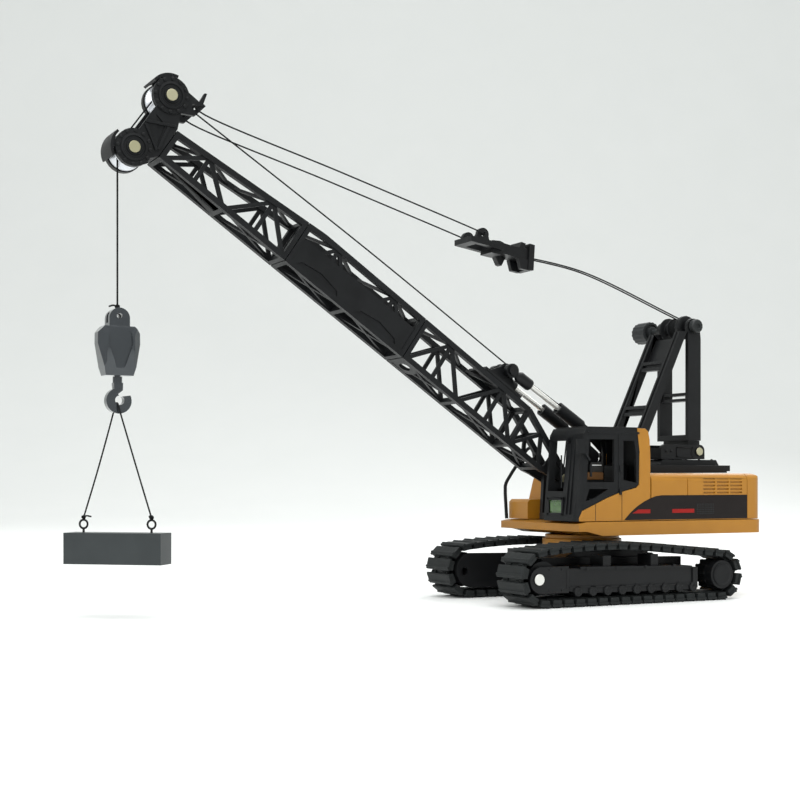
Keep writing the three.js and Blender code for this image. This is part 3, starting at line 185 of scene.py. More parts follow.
finishes = {
    "yellow_paint": {"colour": (0.39, 0.172, 0.014), "shade": (0.35, 0.148, 0.011), "roughness": (0.36, 0.46),
                     "coat": 0.12, "coatRoughness": 0.3, "specular": 0.35},
    "black_plastic": {"colour": (0.0052, 0.0056, 0.0062), "shade": (0.0082, 0.009, 0.0098),
                      "roughness": (0.38, 0.52), "patch": 90, "specular": 0.2},
    "black_metal": {"colour": (0.0045, 0.0048, 0.0054), "shade": (0.0075, 0.008, 0.0088),
                    "roughness": (0.32, 0.46), "patch": 70, "specular": 0.24},
    "track_rubber": {"colour": (0.0080, 0.0094, 0.0096), "shade": (0.0155, 0.018, 0.0182),
                     "roughness": (0.5, 0.7), "grain": 3200, "grainStrength": 0.4, "patch": 220,
                     "specular": 0.22},
    "bright_steel": {"colour": (0.84, 0.835, 0.80), "shade": (0.74, 0.735, 0.70), "roughness": (0.24, 0.36),
                     "metallic": 0.75, "grainStrength": 0.05},
    "brass_pin": {"colour": (0.56, 0.53, 0.37), "shade": (0.40, 0.38, 0.24), "roughness": (0.28, 0.42),
                  "metallic": 0.8, "grain": 1500, "grainStrength": 0.2},
    "pulley_white": {"colour": (0.66, 0.68, 0.73), "shade": (0.80, 0.82, 0.85), "roughness": (0.16, 0.28),
                     "metallic": 0.3, "coat": 0.3},
    "slate_paint": {"colour": (0.022, 0.027, 0.029), "shade": (0.031, 0.037, 0.039),
                    "roughness": (0.3, 0.42), "grain": 1800, "grainStrength": 0.35, "specular": 0.35},
    "seat_brown": {"colour": (0.20, 0.085, 0.016), "shade": (0.13, 0.056, 0.012), "roughness": (0.45, 0.6)},
    "knob_grey": {"colour": (0.0125, 0.0145, 0.015), "shade": (0.020, 0.023, 0.024),
                  "roughness": (0.42, 0.58), "specular": 0.3},
    "block_steel": {"colour": (0.026, 0.031, 0.037), "shade": (0.042, 0.049, 0.055), "roughness": (0.10, 0.2),
                    "metallic": 0.5, "coat": 0.6, "coatRoughness": 0.05, "grainStrength": 0.08},
    "decal_black": {"colour": (0.0075, 0.0048, 0.0045), "shade": (0.0105, 0.0072, 0.0066),
                    "roughness": (0.26, 0.34), "grainStrength": 0.04, "specular": 0.2},
    "decal_red": {"colour": (0.30, 0.010, 0.008), "shade": (0.26, 0.008, 0.006), "roughness": (0.26, 0.34),
                  "grainStrength": 0.04, "specular": 0.2},
}
materials = {name: surfaceMaterial(name, finish) for name, finish in finishes.items()}


# Twisted cord: fibres run across the strands in the piece's own UV map
def stringMaterial(name):
    material, tree, shader = nodeTree(name)
    place = addNode(tree, "ShaderNodeUVMap", uv_map="rope")
    fibres = addNode(tree, "ShaderNodeTexWave", wave_type="BANDS", bands_direction="DIAGONAL",
                     Scale=18.0, Distortion=2.0, Detail=2.0)
    tree.links.new(place.outputs["UV"], fibres.inputs["Vector"])
    colour = mixColours(tree, fibres.outputs["Fac"], (0.0035, 0.004, 0.0042), (0.0125, 0.0135, 0.0142))
    tree.links.new(colour, shader.inputs["Base Color"])
    tree.links.new(remap(tree, fibres.outputs["Fac"], 0.7, 0.9, 0, 1), shader.inputs["Roughness"])
    tree.links.new(bump(tree, fibres.outputs["Fac"], 0.4, 0.00006), shader.inputs["Normal"])
    shader.inputs["Specular IOR Level"].default_value = 0.15
    return material


# Green lower pane: mottled, glossy and slightly see-through
def paneMaterial(name):
    material, tree, shader = nodeTree(name)
    mottle = noise(tree, 160, 3)
    colour = mixColours(tree, remap(tree, mottle, 0, 1), (0.03, 0.085, 0.018), (0.075, 0.17, 0.038))
    tree.links.new(colour, shader.inputs["Base Color"])
    tree.links.new(remap(tree, mottle, 0.08, 0.2), shader.inputs["Roughness"])
    shader.inputs["Coat Weight"].default_value = 0.6
    shader.inputs["Transmission Weight"].default_value = 0.15
    return material


materials["string"] = stringMaterial("string")
materials["green_pane"] = paneMaterial("green_pane")
print("materials made:", len(materials))


# Camera, floor and light
def makeCamera():
    settings = {"place": (388.0, 548.1, 55.97), "lens": 63.31, "rise": 0.0988}
    data = bpy.data.cameras.new("camera")
    data.lens = settings["lens"]
    data.sensor_width = 36
    data.shift_y = settings["rise"]
    data.clip_start = 0.01
    camera = bpy.data.objects.new("camera", data)
    camera.location = toModel(settings["place"])
    camera.rotation_euler = (math.pi / 2, 0, math.pi - viewHeading)
    bpy.context.collection.objects.link(camera)
    bpy.context.scene.camera = camera


def meshObject(name, mesh):
    piece = bpy.data.objects.new(name, mesh)
    bpy.context.collection.objects.link(piece)
    return piece


# Paper sweep: flat floor, a quarter-circle bend behind the object, then straight up
def makeStage():
    settings = {"half": 6.0, "front": -3.0, "bendStart": 1.1, "bendRadius": 1.2, "bendSteps": 16,
                "height": 4.0}
    profile = [(settings["front"], 0.0), (settings["bendStart"], 0.0)]
    for step in range(1, settings["bendSteps"] + 1):
        turn = math.pi / 2 * step / settings["bendSteps"]
        profile.append((settings["bendStart"] + settings["bendRadius"] * math.sin(turn),
                        settings["bendRadius"] * (1 - math.cos(turn))))
    profile.append((settings["bendStart"] + settings["bendRadius"], settings["height"]))
    away = -Vector((math.sin(viewHeading), math.cos(viewHeading), 0))
    across = Vector((away.y, -away.x, 0))
    bm = bmesh.new()
    rows = [[bm.verts.new(away * d + across * side + Vector((0, 0, z))) for side in
             (-settings["half"], settings["half"])] for d, z in profile]
    for near, far in zip(rows, rows[1:]):
        bm.faces.new((near[0], near[1], far[1], far[0]))
    bmesh.ops.recalc_face_normals(bm, faces=bm.faces)
    mesh = bpy.data.meshes.new("backdrop")
    bm.to_mesh(mesh)
    bm.free()
    for face in mesh.polygons:
        face.use_smooth = True
    material, tree, shader = nodeTree("paper")
    grain = noise(tree, 12, 3)
    colour = mixColours(tree, grain, (0.80, 0.815, 0.805), (0.83, 0.84, 0.832))
    tree.links.new(colour, shader.inputs["Base Color"])
    shader.inputs["Roughness"].default_value = 0.55
    mesh.materials.append(material)
    meshObject("backdrop", mesh)


def areaLight(name, place, target, size, power):
    data = bpy.data.lights.new(name, "AREA")
    data.shape = "DISK"
    data.size = size
    data.energy = power
    lamp = bpy.data.objects.new(name, data)
    lamp.location = Vector(place)
    lamp.rotation_mode = "QUATERNION"
    lamp.rotation_quaternion = (Vector(target) - Vector(place)).to_track_quat("-Z", "Y")
    bpy.context.collection.objects.link(lamp)


def makeLights():
    areaLight("overhead", (0.1, 0.3, 1.4), (0, 0, 0.05), 1.6, 20)
    areaLight("windowSide", (1.1, 1.0, 0.8), (0, 0, 0.1), 0.9, 7)
    areaLight("backSide", (-0.9, -0.6, 0.9), (0, 0, 0.1), 0.9, 6)
    world = bpy.data.worlds.new("studio")
    bpy.context.scene.world = world
    world.use_nodes = True
    background = world.node_tree.nodes["Background"]
    background.inputs["Color"].default_value = (0.955, 0.98, 0.965, 1)
    background.inputs["Strength"].default_value = 0.75
    bpy.context.scene.view_settings.view_transform = "Standard"


makeCamera()
makeStage()
makeLights()
print("camera, backdrop and lights made")


# Ropes: three twisted strands along a smooth curve through given points.
# The curve is a centripetal Catmull-Rom, so it doesn't overshoot at tight turns
def smoothRoute(points, stepsBetween):
    if len(points) == 2:
        return [points[0].lerp(points[1], i / stepsBetween) for i in range(stepsBetween + 1)]
    ends = [points[0] * 2 - points[1], *points, points[-1] * 2 - points[-2]]
    route = []
    for p0, p1, p2, p3 in zip(ends, ends[1:], ends[2:], ends[3:]):
        t0 = 0.0
        t1 = t0 + math.sqrt((p1 - p0).length)
        t2 = t1 + math.sqrt((p2 - p1).length)
        t3 = t2 + math.sqrt((p3 - p2).length)
        for i in range(stepsBetween):
            t = t1 + (t2 - t1) * i / stepsBetween
            a1 = p0 * ((t1 - t) / (t1 - t0)) + p1 * ((t - t0) / (t1 - t0))
            a2 = p1 * ((t2 - t) / (t2 - t1)) + p2 * ((t - t1) / (t2 - t1))
            a3 = p2 * ((t3 - t) / (t3 - t2)) + p3 * ((t - t2) / (t3 - t2))
            b1 = a1 * ((t2 - t) / (t2 - t0)) + a2 * ((t - t0) / (t2 - t0))
            b2 = a2 * ((t3 - t) / (t3 - t1)) + a3 * ((t - t1) / (t3 - t1))
            route.append(b1 * ((t2 - t) / (t2 - t1)) + b2 * ((t - t1) / (t2 - t1)))
    return route + [points[-1]]


def evenRoute(route, spacing):
    lengths = [0.0]
    for a, b in zip(route, route[1:]):
        lengths.append(lengths[-1] + (b - a).length)
    count = max(2, round(lengths[-1] / spacing))
    even = []
    k = 0
    for i in range(count + 1):
        want = lengths[-1] * i / count
        while k < len(route) - 2 and lengths[k + 1] < want:
            k += 1
        part = (want - lengths[k]) / max(lengths[k + 1] - lengths[k], 1e-9)
        even.append(route[k].lerp(route[k + 1], min(1.0, part)))
    return even, lengths[-1]


rope = {"strands": 3, "sides": 12, "spacing": 0.45, "twist": 2.6, "groove": 0.16}


def ropeMesh(name, points, radius):
    route, length = evenRoute(smoothRoute([Vector(p) for p in points], 12), rope["spacing"])
    side = Vector((0, 1, 0))
    if abs((route[1] - route[0]).normalized().y) > 0.9:
        side = Vector((1, 0, 0))
    bm = bmesh.new()
    uv = bm.loops.layers.uv.new("rope")
    rings = []
    for i, centre in enumerate(route):
        ahead = route[min(i + 1, len(route) - 1)] - route[max(i - 1, 0)]
        ahead.normalize()
        side = (side - ahead * side.dot(ahead)).normalized()
        up = ahead.cross(side)
        turn = 2 * math.pi * (i * length / (len(route) - 1)) / rope["twist"]
        ring = []
        for k in range(rope["sides"]):
            angle = 2 * math.pi * k / rope["sides"]
            lobe = abs(math.cos(rope["strands"] / 2 * (angle - turn)))
            r = radius * (1 - rope["groove"] * (1 - lobe))
            offset = side * (r * math.cos(angle)) + up * (r * math.sin(angle))
            ring.append(bm.verts.new(toModel(centre + offset)))
        rings.append(ring)
    for i, (low, high) in enumerate(zip(rings, rings[1:])):
        for k in range(rope["sides"]):
            following = (k + 1) % rope["sides"]
            face = bm.faces.new((low[k], low[following], high[following], high[k]))
            face.smooth = True
            for loop, (u, v) in zip(face.loops, ((k, i), (k + 1, i), (k + 1, i + 1), (k, i + 1))):
                loop[uv].uv = (u / rope["sides"], v * rope["spacing"] / 2)
    bm.faces.new(list(reversed(rings[0])))
    bm.faces.new(rings[-1])
    bmesh.ops.recalc_face_normals(bm, faces=bm.faces)
    mesh = bpy.data.meshes.new(name)
    bm.to_mesh(mesh)
    bm.free()
    mesh.materials.append(materials["string"])
    return meshObject(name, mesh), [toModel(p) for p in route], length / 1000


# Hitch: three loops close round each other, and a cut tail; twist turns one knot from the next
def knotMesh(name, centre, radius, twist):
    settings = {"loops": 3, "around": 22, "section": 8, "open": 1.75, "tailThinner": 0.9,
                "tail": ((0.4, 0.3, 0.2), (1.4, 0.9, 0.5), (3.2, 1.2, 0.1))}
    bm = bmesh.new()
    for k in range(settings["loops"]):
        tilt = Matrix.Rotation(0.9 * k + twist, 3, "Z") @ Matrix.Rotation(1.1 * k - 0.5, 3, "X")
        rings = []
        for i in range(settings["around"]):
            turn = 2 * math.pi * i / settings["around"]
            out = tilt @ Vector((math.cos(turn), math.sin(turn), 0))
            up = tilt @ Vector((0, 0, 1))
            ring = []
            for j in range(settings["section"]):
                angle = 2 * math.pi * j / settings["section"]
                reach = radius * (settings["open"] + math.cos(angle))
                spot = centre + out * reach + up * (radius * math.sin(angle))
                ring.append(bm.verts.new(toModel(spot)))
            rings.append(ring)
        for i in range(settings["around"]):
            low, high = rings[i], rings[(i + 1) % settings["around"]]
            for j in range(settings["section"]):
                following = (j + 1) % settings["section"]
                bm.faces.new((low[j], low[following], high[following], high[j]))
    turnTail = Matrix.Rotation(twist, 3, "Z")
    route = smoothRoute([centre + turnTail @ Vector(point) for point in settings["tail"]], 6)
    thin = radius * settings["tailThinner"]
    rings = []
    for i, spot in enumerate(route):
        ahead = (route[min(i + 1, len(route) - 1)] - route[max(i - 1, 0)]).normalized()
        side = ahead.cross(Vector((0, 0, 1))).normalized()
        up = side.cross(ahead)
        ring = []
        for j in range(settings["section"]):
            angle = 2 * math.pi * j / settings["section"]
            offset = side * (thin * math.cos(angle)) + up * (thin * math.sin(angle))
            ring.append(bm.verts.new(toModel(spot + offset)))
        rings.append(ring)
    for low, high in zip(rings, rings[1:]):
        for j in range(settings["section"]):
            following = (j + 1) % settings["section"]
            bm.faces.new((low[j], low[following], high[following], high[j]))
    bm.faces.new(rings[0])
    bm.faces.new(rings[-1])
    bmesh.ops.recalc_face_normals(bm, faces=bm.faces)
    for face in bm.faces:
        face.smooth = True
    mesh = bpy.data.meshes.new(name)
    bm.to_mesh(mesh)
    bm.free()
    mesh.materials.append(materials["string"])
    return meshObject(name, mesh)


def slingLeg(along, z):
    return (dropX + math.cos(load["turn"]) * along, boomY + math.sin(load["turn"]) * along, z)


# Points in the order that the rope runs, the same as the CAD ropes' points
def ropeRoutes():
    luffRadius = 3.9 + ropeLift
    drumX = gantryAxle.x - luffRadius * 0.261
    drumZ = gantryAxle.z + luffRadius * 0.965
    strand = 1.2
    routes = {"luffing_rope": [
        (drumX, boomY + strand, drumZ), onBridle(-30, strand, 0.6), onBridle(1.2, strand, 0),
        onBridle(2.1, strand * 0.7, 0), onBridle(2.5, 0, 0), onBridle(2.1, -strand * 0.7, 0),
        onBridle(1.2, -strand, 0), onBridle(-30, -strand, 0.6), (drumX, boomY - strand, drumZ)]}
    for side, word in ((1, "left"), (-1, "right")):
        ear = onBridle(bridleEar["along"] + 3.4, side * 8.5, bridleEar["up"] + 0.5)
        lug = onBoom(headLug["s"] - 3, side * 8.3, headLug["n"] - 0.5)
        routes[f"pendant_{word}"] = [
            onBridle(bridleEar["along"], side * 4.4, bridleEar["up"]),
            onBridle(bridleEar["along"], side * 7.8, bridleEar["up"]),
            onBridle(bridleEar["along"] + 0.9, side * 8.4, bridleEar["up"] + 0.1),
            ear,
            ear.lerp(lug, 0.5),
            lug,
            onBoom(headLug["s"] - 0.7, side * 8.2, headLug["n"]),
            onBoom(headLug["s"], side * 7.6, headLug["n"]),
            onBoom(headLug["s"], side * 4.6, headLug["n"])]
    winchRadius = 2.9 + ropeLift
    rollerTop = rollerPin["n"] + 3.2 + ropeLift
    routes["hoist_rope_low"] = [
        (winch.x - winchRadius * 0.527, boomY, winch.z + winchRadius * 0.85),
        onBoom(rollerPin["s"] - 0.3, 0, rollerTop)]
    high = [onBoom(rollerPin["s"], 0, rollerTop), onBoom(140, 0, 26.5),
            onBoom(headPin["s"] - 8, 0, headPin["high"] + pulleyGroove["high"] + ropeLift + 0.25)]
    for centre, radius, start, stop, count in (
            (headPin["high"], pulleyGroove["high"] + ropeLift, 88, 2, 5),
            (headPin["low"], pulleyGroove["low"] + ropeLift, 2, -33, 3)):
        for i in range(count + 1):
            angle = math.radians(start + (stop - start) * i / count)
            high.append(onBoom(headPin["s"] + radius * math.cos(angle), 0, centre + radius * math.sin(angle)))
    routes["hoist_rope_high"] = high
    routes["drop_rope"] = [(dropX, boomY, onBoom(headPin["s"], 0, headPin["low"]).z - 0.3),
                           (dropX, boomY, blockTop + 0.3)]
    foot = load["top"] + load["eyeRise"] + 0.4
    routes["sling"] = [
        slingLeg(load["eyes"], foot), slingLeg(load["eyes"] * 0.55, 61), (dropX + 0.5, boomY - 2.9, 84),
        (dropX + 0.4, boomY - 1.8, 86.25), (dropX + 0.4, boomY, 86.5), (dropX + 0.4, boomY + 1.8, 86.25),
        (dropX + 0.1, boomY + 2.9, 84), slingLeg(-load["eyes"] * 0.55, 61), slingLeg(-load["eyes"], foot)]
    return routes


ropeFacts = {
    "luffing_rope": {"radius": 0.35, "lay": "taut", "bends": ("luffing_line", "bridle")},
    "pendant_left": {"radius": 0.35, "lay": "taut", "body": "bridle"},
    "pendant_right": {"radius": 0.35, "lay": "taut", "body": "bridle"},
    "hoist_rope_low": {"radius": 0.35, "lay": "taut", "bends": ("house", "boom")},
    "hoist_rope_high": {"radius": 0.35, "lay": "taut", "body": "boom"},
    "drop_rope": {"radius": 0.4, "lay": "hanging", "bends": ("drop_line", "hook_block")},
    "sling": {"radius": 0.35, "lay": "hanging", "body": "load"},
}


# Where each rope is tied, and the body that the knot rides on
def knotPlaces():
    foot = load["top"] + load["eyeRise"] + 0.6
    places = {"drop_rope": [((dropX, boomY, blockTop + 0.7), "hook_block")],
              "sling": [(slingLeg(load["eyes"], foot), "load"), (slingLeg(-load["eyes"], foot), "load")]}
    for side, word in ((1, "left"), (-1, "right")):
        places[f"pendant_{word}"] = [
            (onBridle(bridleEar["along"] + 0.4, side * 8.3, bridleEar["up"]), "bridle"),
            (onBoom(headLug["s"] - 0.6, side * 8.2, headLug["n"]), "bridle")]
    return places


def makeRopes():
    knots = knotPlaces()
    for name, points in ropeRoutes().items():
        facts = ropeFacts[name]
        for i, (place, body) in enumerate(knots.get(name, [])):
            twist = 1.3 * i + 0.6 * len(name)
            knot = knotMesh(f"{name}_knot_{i}", Vector(place), facts["radius"], twist)
            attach(knot, body)
        piece, path, length = ropeMesh(f"{name}_cord", points, facts["radius"])
        if "bends" in facts:
            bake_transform(piece)
        else:
            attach(piece, facts["body"])
        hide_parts(name)
        print("rope", name, "length", round(length * 1000, 1), "mm")


makeRopes()


# Shapes for the added detail
sharpAngle = math.radians(38)


def bmToPiece(name, bm, material, body, bevel=0.0, segments=2, replaced=()):
    bmesh.ops.remove_doubles(bm, verts=bm.verts, dist=1e-7)
    bmesh.ops.recalc_face_normals(bm, faces=bm.faces)
    mesh = bpy.data.meshes.new(name)
    bm.to_mesh(mesh)
    bm.free()
    mesh.materials.append(materials[material])
    piece = meshObject(name, mesh)
    return finishPiece(piece, body, bevel, segments, replaced)


def finishPiece(piece, body, bevel, segments, replaced):
    for face in piece.data.polygons:
        face.use_smooth = True
    if bevel:
        modifier = piece.modifiers.new("edges", "BEVEL")
        modifier.width = bevel / 1000
        modifier.segments = segments
        modifier.limit_method = "ANGLE"
        modifier.angle_limit = sharpAngle
    else:
        piece.data.set_sharp_from_angle(angle=sharpAngle)
    modifier = piece.modifiers.new("normals", "WEIGHTED_NORMAL")
    modifier.keep_sharp = True
    bakeModifiers(piece)
    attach(piece, body)
    if replaced:
        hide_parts(*replaced)
    return piece


def bakeModifiers(piece):
    bpy.context.view_layer.update()
    evaluated = piece.evaluated_get(bpy.context.evaluated_depsgraph_get())
    mesh = bpy.data.meshes.new_from_object(evaluated)
    piece.modifiers.clear()
    piece.data = mesh


def addBox(bm, x, y, z):
    corners = [toModel((a, b, c)) for a in x for b in y for c in z]
    verts = [bm.verts.new(corner) for corner in corners]
    for ring in ((0, 1, 3, 2), (4, 6, 7, 5), (0, 4, 5, 1), (2, 3, 7, 6), (0, 2, 6, 4), (1, 5, 7, 3)):
        bm.faces.new([verts[i] for i in ring])


def addPrism(bm, outline, axis, low, high, turn=toModel):
    rings = []
    for level in sorted((low, high)):
        points = [{"x": (level, a, b), "y": (a, level, b), "z": (a, b, level)}[axis] for a, b in outline]
        rings.append([bm.verts.new(turn(Vector(p))) for p in points])
    count = len(outline)
    for i in range(count):
        j = (i + 1) % count
        bm.faces.new((rings[0][i], rings[0][j], rings[1][j], rings[1][i]))
    bm.faces.new(rings[0])
    bm.faces.new(rings[1])


def circleOutline(a, b, radius, count):
    return [(a + radius * math.cos(2 * math.pi * i / count),
             b + radius * math.sin(2 * math.pi * i / count)) for i in range(count)]


def addTurned(bm, profile, centre, axis="y", sides=32, turn=toModel):
    rings = []
    for radius, level in profile:
        ring = []
        for k in range(sides):
            angle = 2 * math.pi * k / sides
            a, b = radius * math.cos(angle), radius * math.sin(angle)
            offset = {"y": (a, level, b), "z": (a, b, level), "x": (level, a, b)}[axis]
            ring.append(bm.verts.new(turn(Vector(centre) + Vector(offset))))
        rings.append(ring)
    for low, high in zip(rings, rings[1:]):
        for k in range(sides):
            j = (k + 1) % sides
            bm.faces.new((low[k], low[j], high[j], high[k]))
    bm.faces.new(rings[0])
    bm.faces.new(rings[-1])


def boomTurn(point):
    return toModel(onBoom(point.x, point.y, point.z))


# CAD nodes carried over: merged, edges softened, given their finish
bodyOfNode = {node: body for body, nodes in frame["record"]["behaviour"]["bodies"].items()
              for node in nodes}
slotOfNode = {entry["node"]: entry["material_slot"] for entry in frame["record"]["subparts"]}


def copyOf(node):
    bm = bmesh.new()
    bm.from_mesh(frame["nodes"][node].data)
    bmesh.ops.remove_doubles(bm, verts=bm.verts, dist=2e-6)
    bmesh.ops.dissolve_limit(bm, angle_limit=math.radians(1.2), verts=bm.verts, edges=bm.edges)
    return bm


def carryOver(node, bevel):
    bm = copyOf(node)
    mesh = bpy.data.meshes.new(f"{node}_look")
    bm.to_mesh(mesh)
    bm.free()
    mesh.materials.clear()
    slotName = looksOf.get(node, slotOfNode[node])
    mesh.materials.append(materials[slotName])
    if node in secondFinishAndShade:
        otherSlot, test = secondFinishAndShade[node]
        mesh.materials.append(materials[otherSlot])
        for face in mesh.polygons:
            centre = face.center * 1000 - Vector((offsetX, 0, 0))
            face.material_index = 1 if test(centre) else 0
    piece = meshObject(f"{node}_look", mesh)
    return finishPiece(piece, bodyOfNode[node], bevel, 2, (node,))


# nodes that wear another finish, and nodes of which one part does. The cab seat is made black as painted
# shade for the dark inside of the cab
looksOf = {"cab_seat": "black_plastic", "head_frame": "black_plastic"}
# box of the cab's inside; the cab skirt's faces within it are painted shade, black for the dark cab interior
shadedCabRoom = ((-14.9, 24.6), (6.6, 30.9), (38, 78.2))
rodSleeve = 12.3
rodLine = onBoom(rollerPin["s"], 0, rollerPin["n"]) - backstopFoot


def inShadedCab(centre):
    return all(low < value < high for value, (low, high) in zip(centre, shadedCabRoom))


def onSleeve(centre):
    return (centre - backstopFoot).dot(rodLine.normalized()) > rodLine.length - rodSleeve


# second finishes: real black parts on the load block and rod sleeves, and painted shade on the cab skirt's
# inside
secondFinishAndShade = {
    # painted shade: the skirt's faces inside the cab are made black
    "cab_skirt": ("black_plastic", inShadedCab),
    "load_block": ("black_metal", lambda centre: centre.z > load["top"] + 0.05),
    "backstop_rod_left": ("black_metal", onSleeve),
    "backstop_rod_right": ("black_metal", onSleeve),
}

carriedBevels = {
    "car_body": 0.8, "track_frame_left": 0.35, "track_frame_right": 0.35,
    "idler_left": 0.3, "idler_right": 0.3, "sprocket_left": 0.3, "sprocket_right": 0.3,
    "nose_bolt_left": 0.25, "nose_bolt_right": 0.25, "slew_ring": 0.35, "deck": 0.45,
    "engine_cover": 0.3, "counterweight": 0.45, "top_deck": 0.5, "tool_box": 0.5,
    "boom_foot_bracket": 0.3, "cab_frame": 0.28, "cab_skirt": 0.35, "mirror": 0.25,
    "gantry_base": 0.35, "gantry_post": 0.35, "gantry_leg": 0.3, "gantry_foot_pin": 0.25,
    "luffing_drum": 0.2, "winch_bracket": 0.25, "winch_drum": 0.2, "backstop_bracket": 0.25,
    "boom_lower": 0.2, "boom_middle": 0.25, "boom_upper": 0.2, "boom_pivot_pin": 0.2,
    "roller_bracket": 0.25, "rope_roller": 0.15, "head_frame": 0.25, "head_pin_high": 0.2,
    "head_pin_low": 0.2, "bridle": 0.35, "hook_block": 0.35, "hook": 0.95, "load_block": 0.35,
    "cab_seat": 0.5, "cab_lower_pane": 0.08, "handrail": 0.0, "luffing_knob": 0.15,
    "winch_knob": 0.15, "head_pulley_high": 0.15, "head_pulley_low": 0.15,
    "backstop_barrel_left": 0.2, "backstop_barrel_right": 0.2,
    "backstop_rod_left": 0.15, "backstop_rod_right": 0.15,
}


def makeCarried():
    for node, bevel in carriedBevels.items():
        carryOver(node, bevel)


makeCarried()
print("carried over", len(carriedBevels), "pieces")


# Track belts: one shoe with its link, repeated along the belt's line by geometry nodes
def wheelArc(wheel, inset, start, sweep):
    steps = 24
    radius = wheel["r"] - inset
    arc = []
    for i in range(steps + 1):
        angle = math.pi * (start + sweep * i / steps)
        arc.append((wheel["x"] + radius * math.cos(angle), wheel["z"] + radius * math.sin(angle)))
    return arc


def beltLine(inset):
    topRun = ((36, 27.4), (22, 28.1), (6, 28.2), (-12, 27.1), (-28, 25.6))
    return [*wheelArc(idler, inset, -0.5, 0.97), *[(x, z - inset) for x, z in topRun],
            *wheelArc(sprocket, inset, 0.56, 0.94)]


belt = {"shoes": 42, "halfWidth": 10.6, "pitchLine": 2.6, "middleY": 31.8,
        "bandInsets": (1.9, 4.0), "bandHalf": 2.6}


# x runs along the belt, y across it, z outwards from the pitch line
def shoeMesh():
    plain = lambda point: Vector(point) / 1000
    bm = bmesh.new()
    half = belt["halfWidth"]
    addPrism(bm, [(-2.75, 1.0), (2.75, 1.0), (2.75, 1.9), (2.35, 2.1), (1.9, 2.1), (1.75, 2.6), (1.05, 2.6),
                  (0.9, 2.1), (-1.9, 2.1), (-2.75, 1.9)], "y", -half, half, plain)
    link = [(-3.1, -1.3), (2.6, -1.3), (3.2, -0.6), (3.2, 0.7), (2.6, 1.1), (-3.1, 1.1)]
    pinHead = circleOutline(-2.9, 0.0, 0.8, 10)
    innerPad = [(-2.2, -0.9), (2.2, -0.9), (2.4, 1.1), (-2.4, 1.1)]
    for side in (-1, 1):
        for outline, near, far in ((link, 3.0, 6.2), (pinHead, 6.4, 7.4), (innerPad, 7.4, 10.2)):
            addPrism(bm, outline, "y", side * near, side * far, plain)
    bmesh.ops.recalc_face_normals(bm, faces=bm.faces)
    mesh = bpy.data.meshes.new("shoe")
    bm.to_mesh(mesh)
    bm.free()
    return mesh


def repeatAlongTree(name, shoe, material):
    tree = bpy.data.node_groups.new(name, "GeometryNodeTree")
    tree.interface.new_socket("Geometry", in_out="INPUT", socket_type="NodeSocketGeometry")
    count = tree.interface.new_socket("Shoe count", in_out="INPUT", socket_type="NodeSocketInt")
    count.default_value = belt["shoes"]
    tree.interface.new_socket("Geometry", in_out="OUTPUT", socket_type="NodeSocketGeometry")
    start = tree.nodes.new("NodeGroupInput")
    end = tree.nodes.new("NodeGroupOutput")
    points = tree.nodes.new("GeometryNodeCurveToPoints")
    points.mode = "COUNT"
    align = tree.nodes.new("FunctionNodeAxesToRotation")
    align.primary_axis = "X"
    align.secondary_axis = "Y"
    align.inputs["Secondary Axis"].default_value = (0, 1, 0)
    shape = tree.nodes.new("GeometryNodeObjectInfo")
    shape.inputs["Object"].default_value = shoe
    instance = tree.nodes.new("GeometryNodeInstanceOnPoints")
    real = tree.nodes.new("GeometryNodeRealizeInstances")
    paint = tree.nodes.new("GeometryNodeSetMaterial")
    paint.inputs["Material"].default_value = material
    links = tree.links
    links.new(start.outputs["Geometry"], points.inputs["Curve"])
    links.new(start.outputs["Shoe count"], points.inputs["Count"])
    links.new(points.outputs["Points"], instance.inputs["Points"])
    links.new(points.outputs["Tangent"], align.inputs["Primary Axis"])
    links.new(align.outputs["Rotation"], instance.inputs["Rotation"])
    links.new(shape.outputs["Geometry"], instance.inputs["Instance"])
    links.new(instance.outputs["Instances"], real.inputs["Geometry"])
    links.new(real.outputs["Geometry"], paint.inputs["Geometry"])
    links.new(paint.outputs["Geometry"], end.inputs["Geometry"])
    return tree, count.identifier


def makeBelts():
    shoe = meshObject("shoe_pattern", shoeMesh())
    tree, countInput = repeatAlongTree("beltShoes", shoe, materials["track_rubber"])
    for side, word in ((1, "left"), (-1, "right")):
        line = bpy.data.curves.new(f"belt_line_{word}", "CURVE")
        line.dimensions = "3D"
        spline = line.splines.new("POLY")
        points = list(reversed(beltLine(belt["pitchLine"])))
        spline.points.add(len(points) - 1)
        for target, (x, z) in zip(spline.points, points):
            target.co = (*toModel((x, side * belt["middleY"], z)), 1)
        spline.use_cyclic_u = True
        curve = bpy.data.objects.new(f"belt_line_{word}", line)
        bpy.context.collection.objects.link(curve)
        modifier = curve.modifiers.new("shoes", "NODES")
        modifier.node_group = tree
        modifier[countInput] = belt["shoes"]
        bpy.context.view_layer.update()
        evaluated = curve.evaluated_get(bpy.context.evaluated_depsgraph_get())
        mesh = bpy.data.meshes.new_from_object(evaluated)
        mesh.name = f"track_belt_{word}_shoes"
        bpy.data.objects.remove(curve)
        piece = meshObject(f"track_belt_{word}_shoes", mesh)
        finishPiece(piece, "chassis", 0.12, 1, (f"track_belt_{word}",))
        band = bmesh.new()
        outer, inner = (beltLine(inset) for inset in belt["bandInsets"])
        half = belt["bandHalf"]
        rings = []
        for outline, y in ((outer, -half), (outer, half), (inner, half), (inner, -half)):
            level = side * belt["middleY"] + y
            rings.append([band.verts.new(toModel((x, level, z))) for x, z in outline])
        for a, b in zip(rings, rings[1:] + rings[:1]):
            for i in range(len(a)):
                j = (i + 1) % len(a)
                band.faces.new((a[i], a[j], b[j], b[i]))
        bmToPiece(f"track_band_{word}", band, "track_rubber", "chassis")
    bpy.data.objects.remove(shoe)


makeBelts()
print("track belts made")


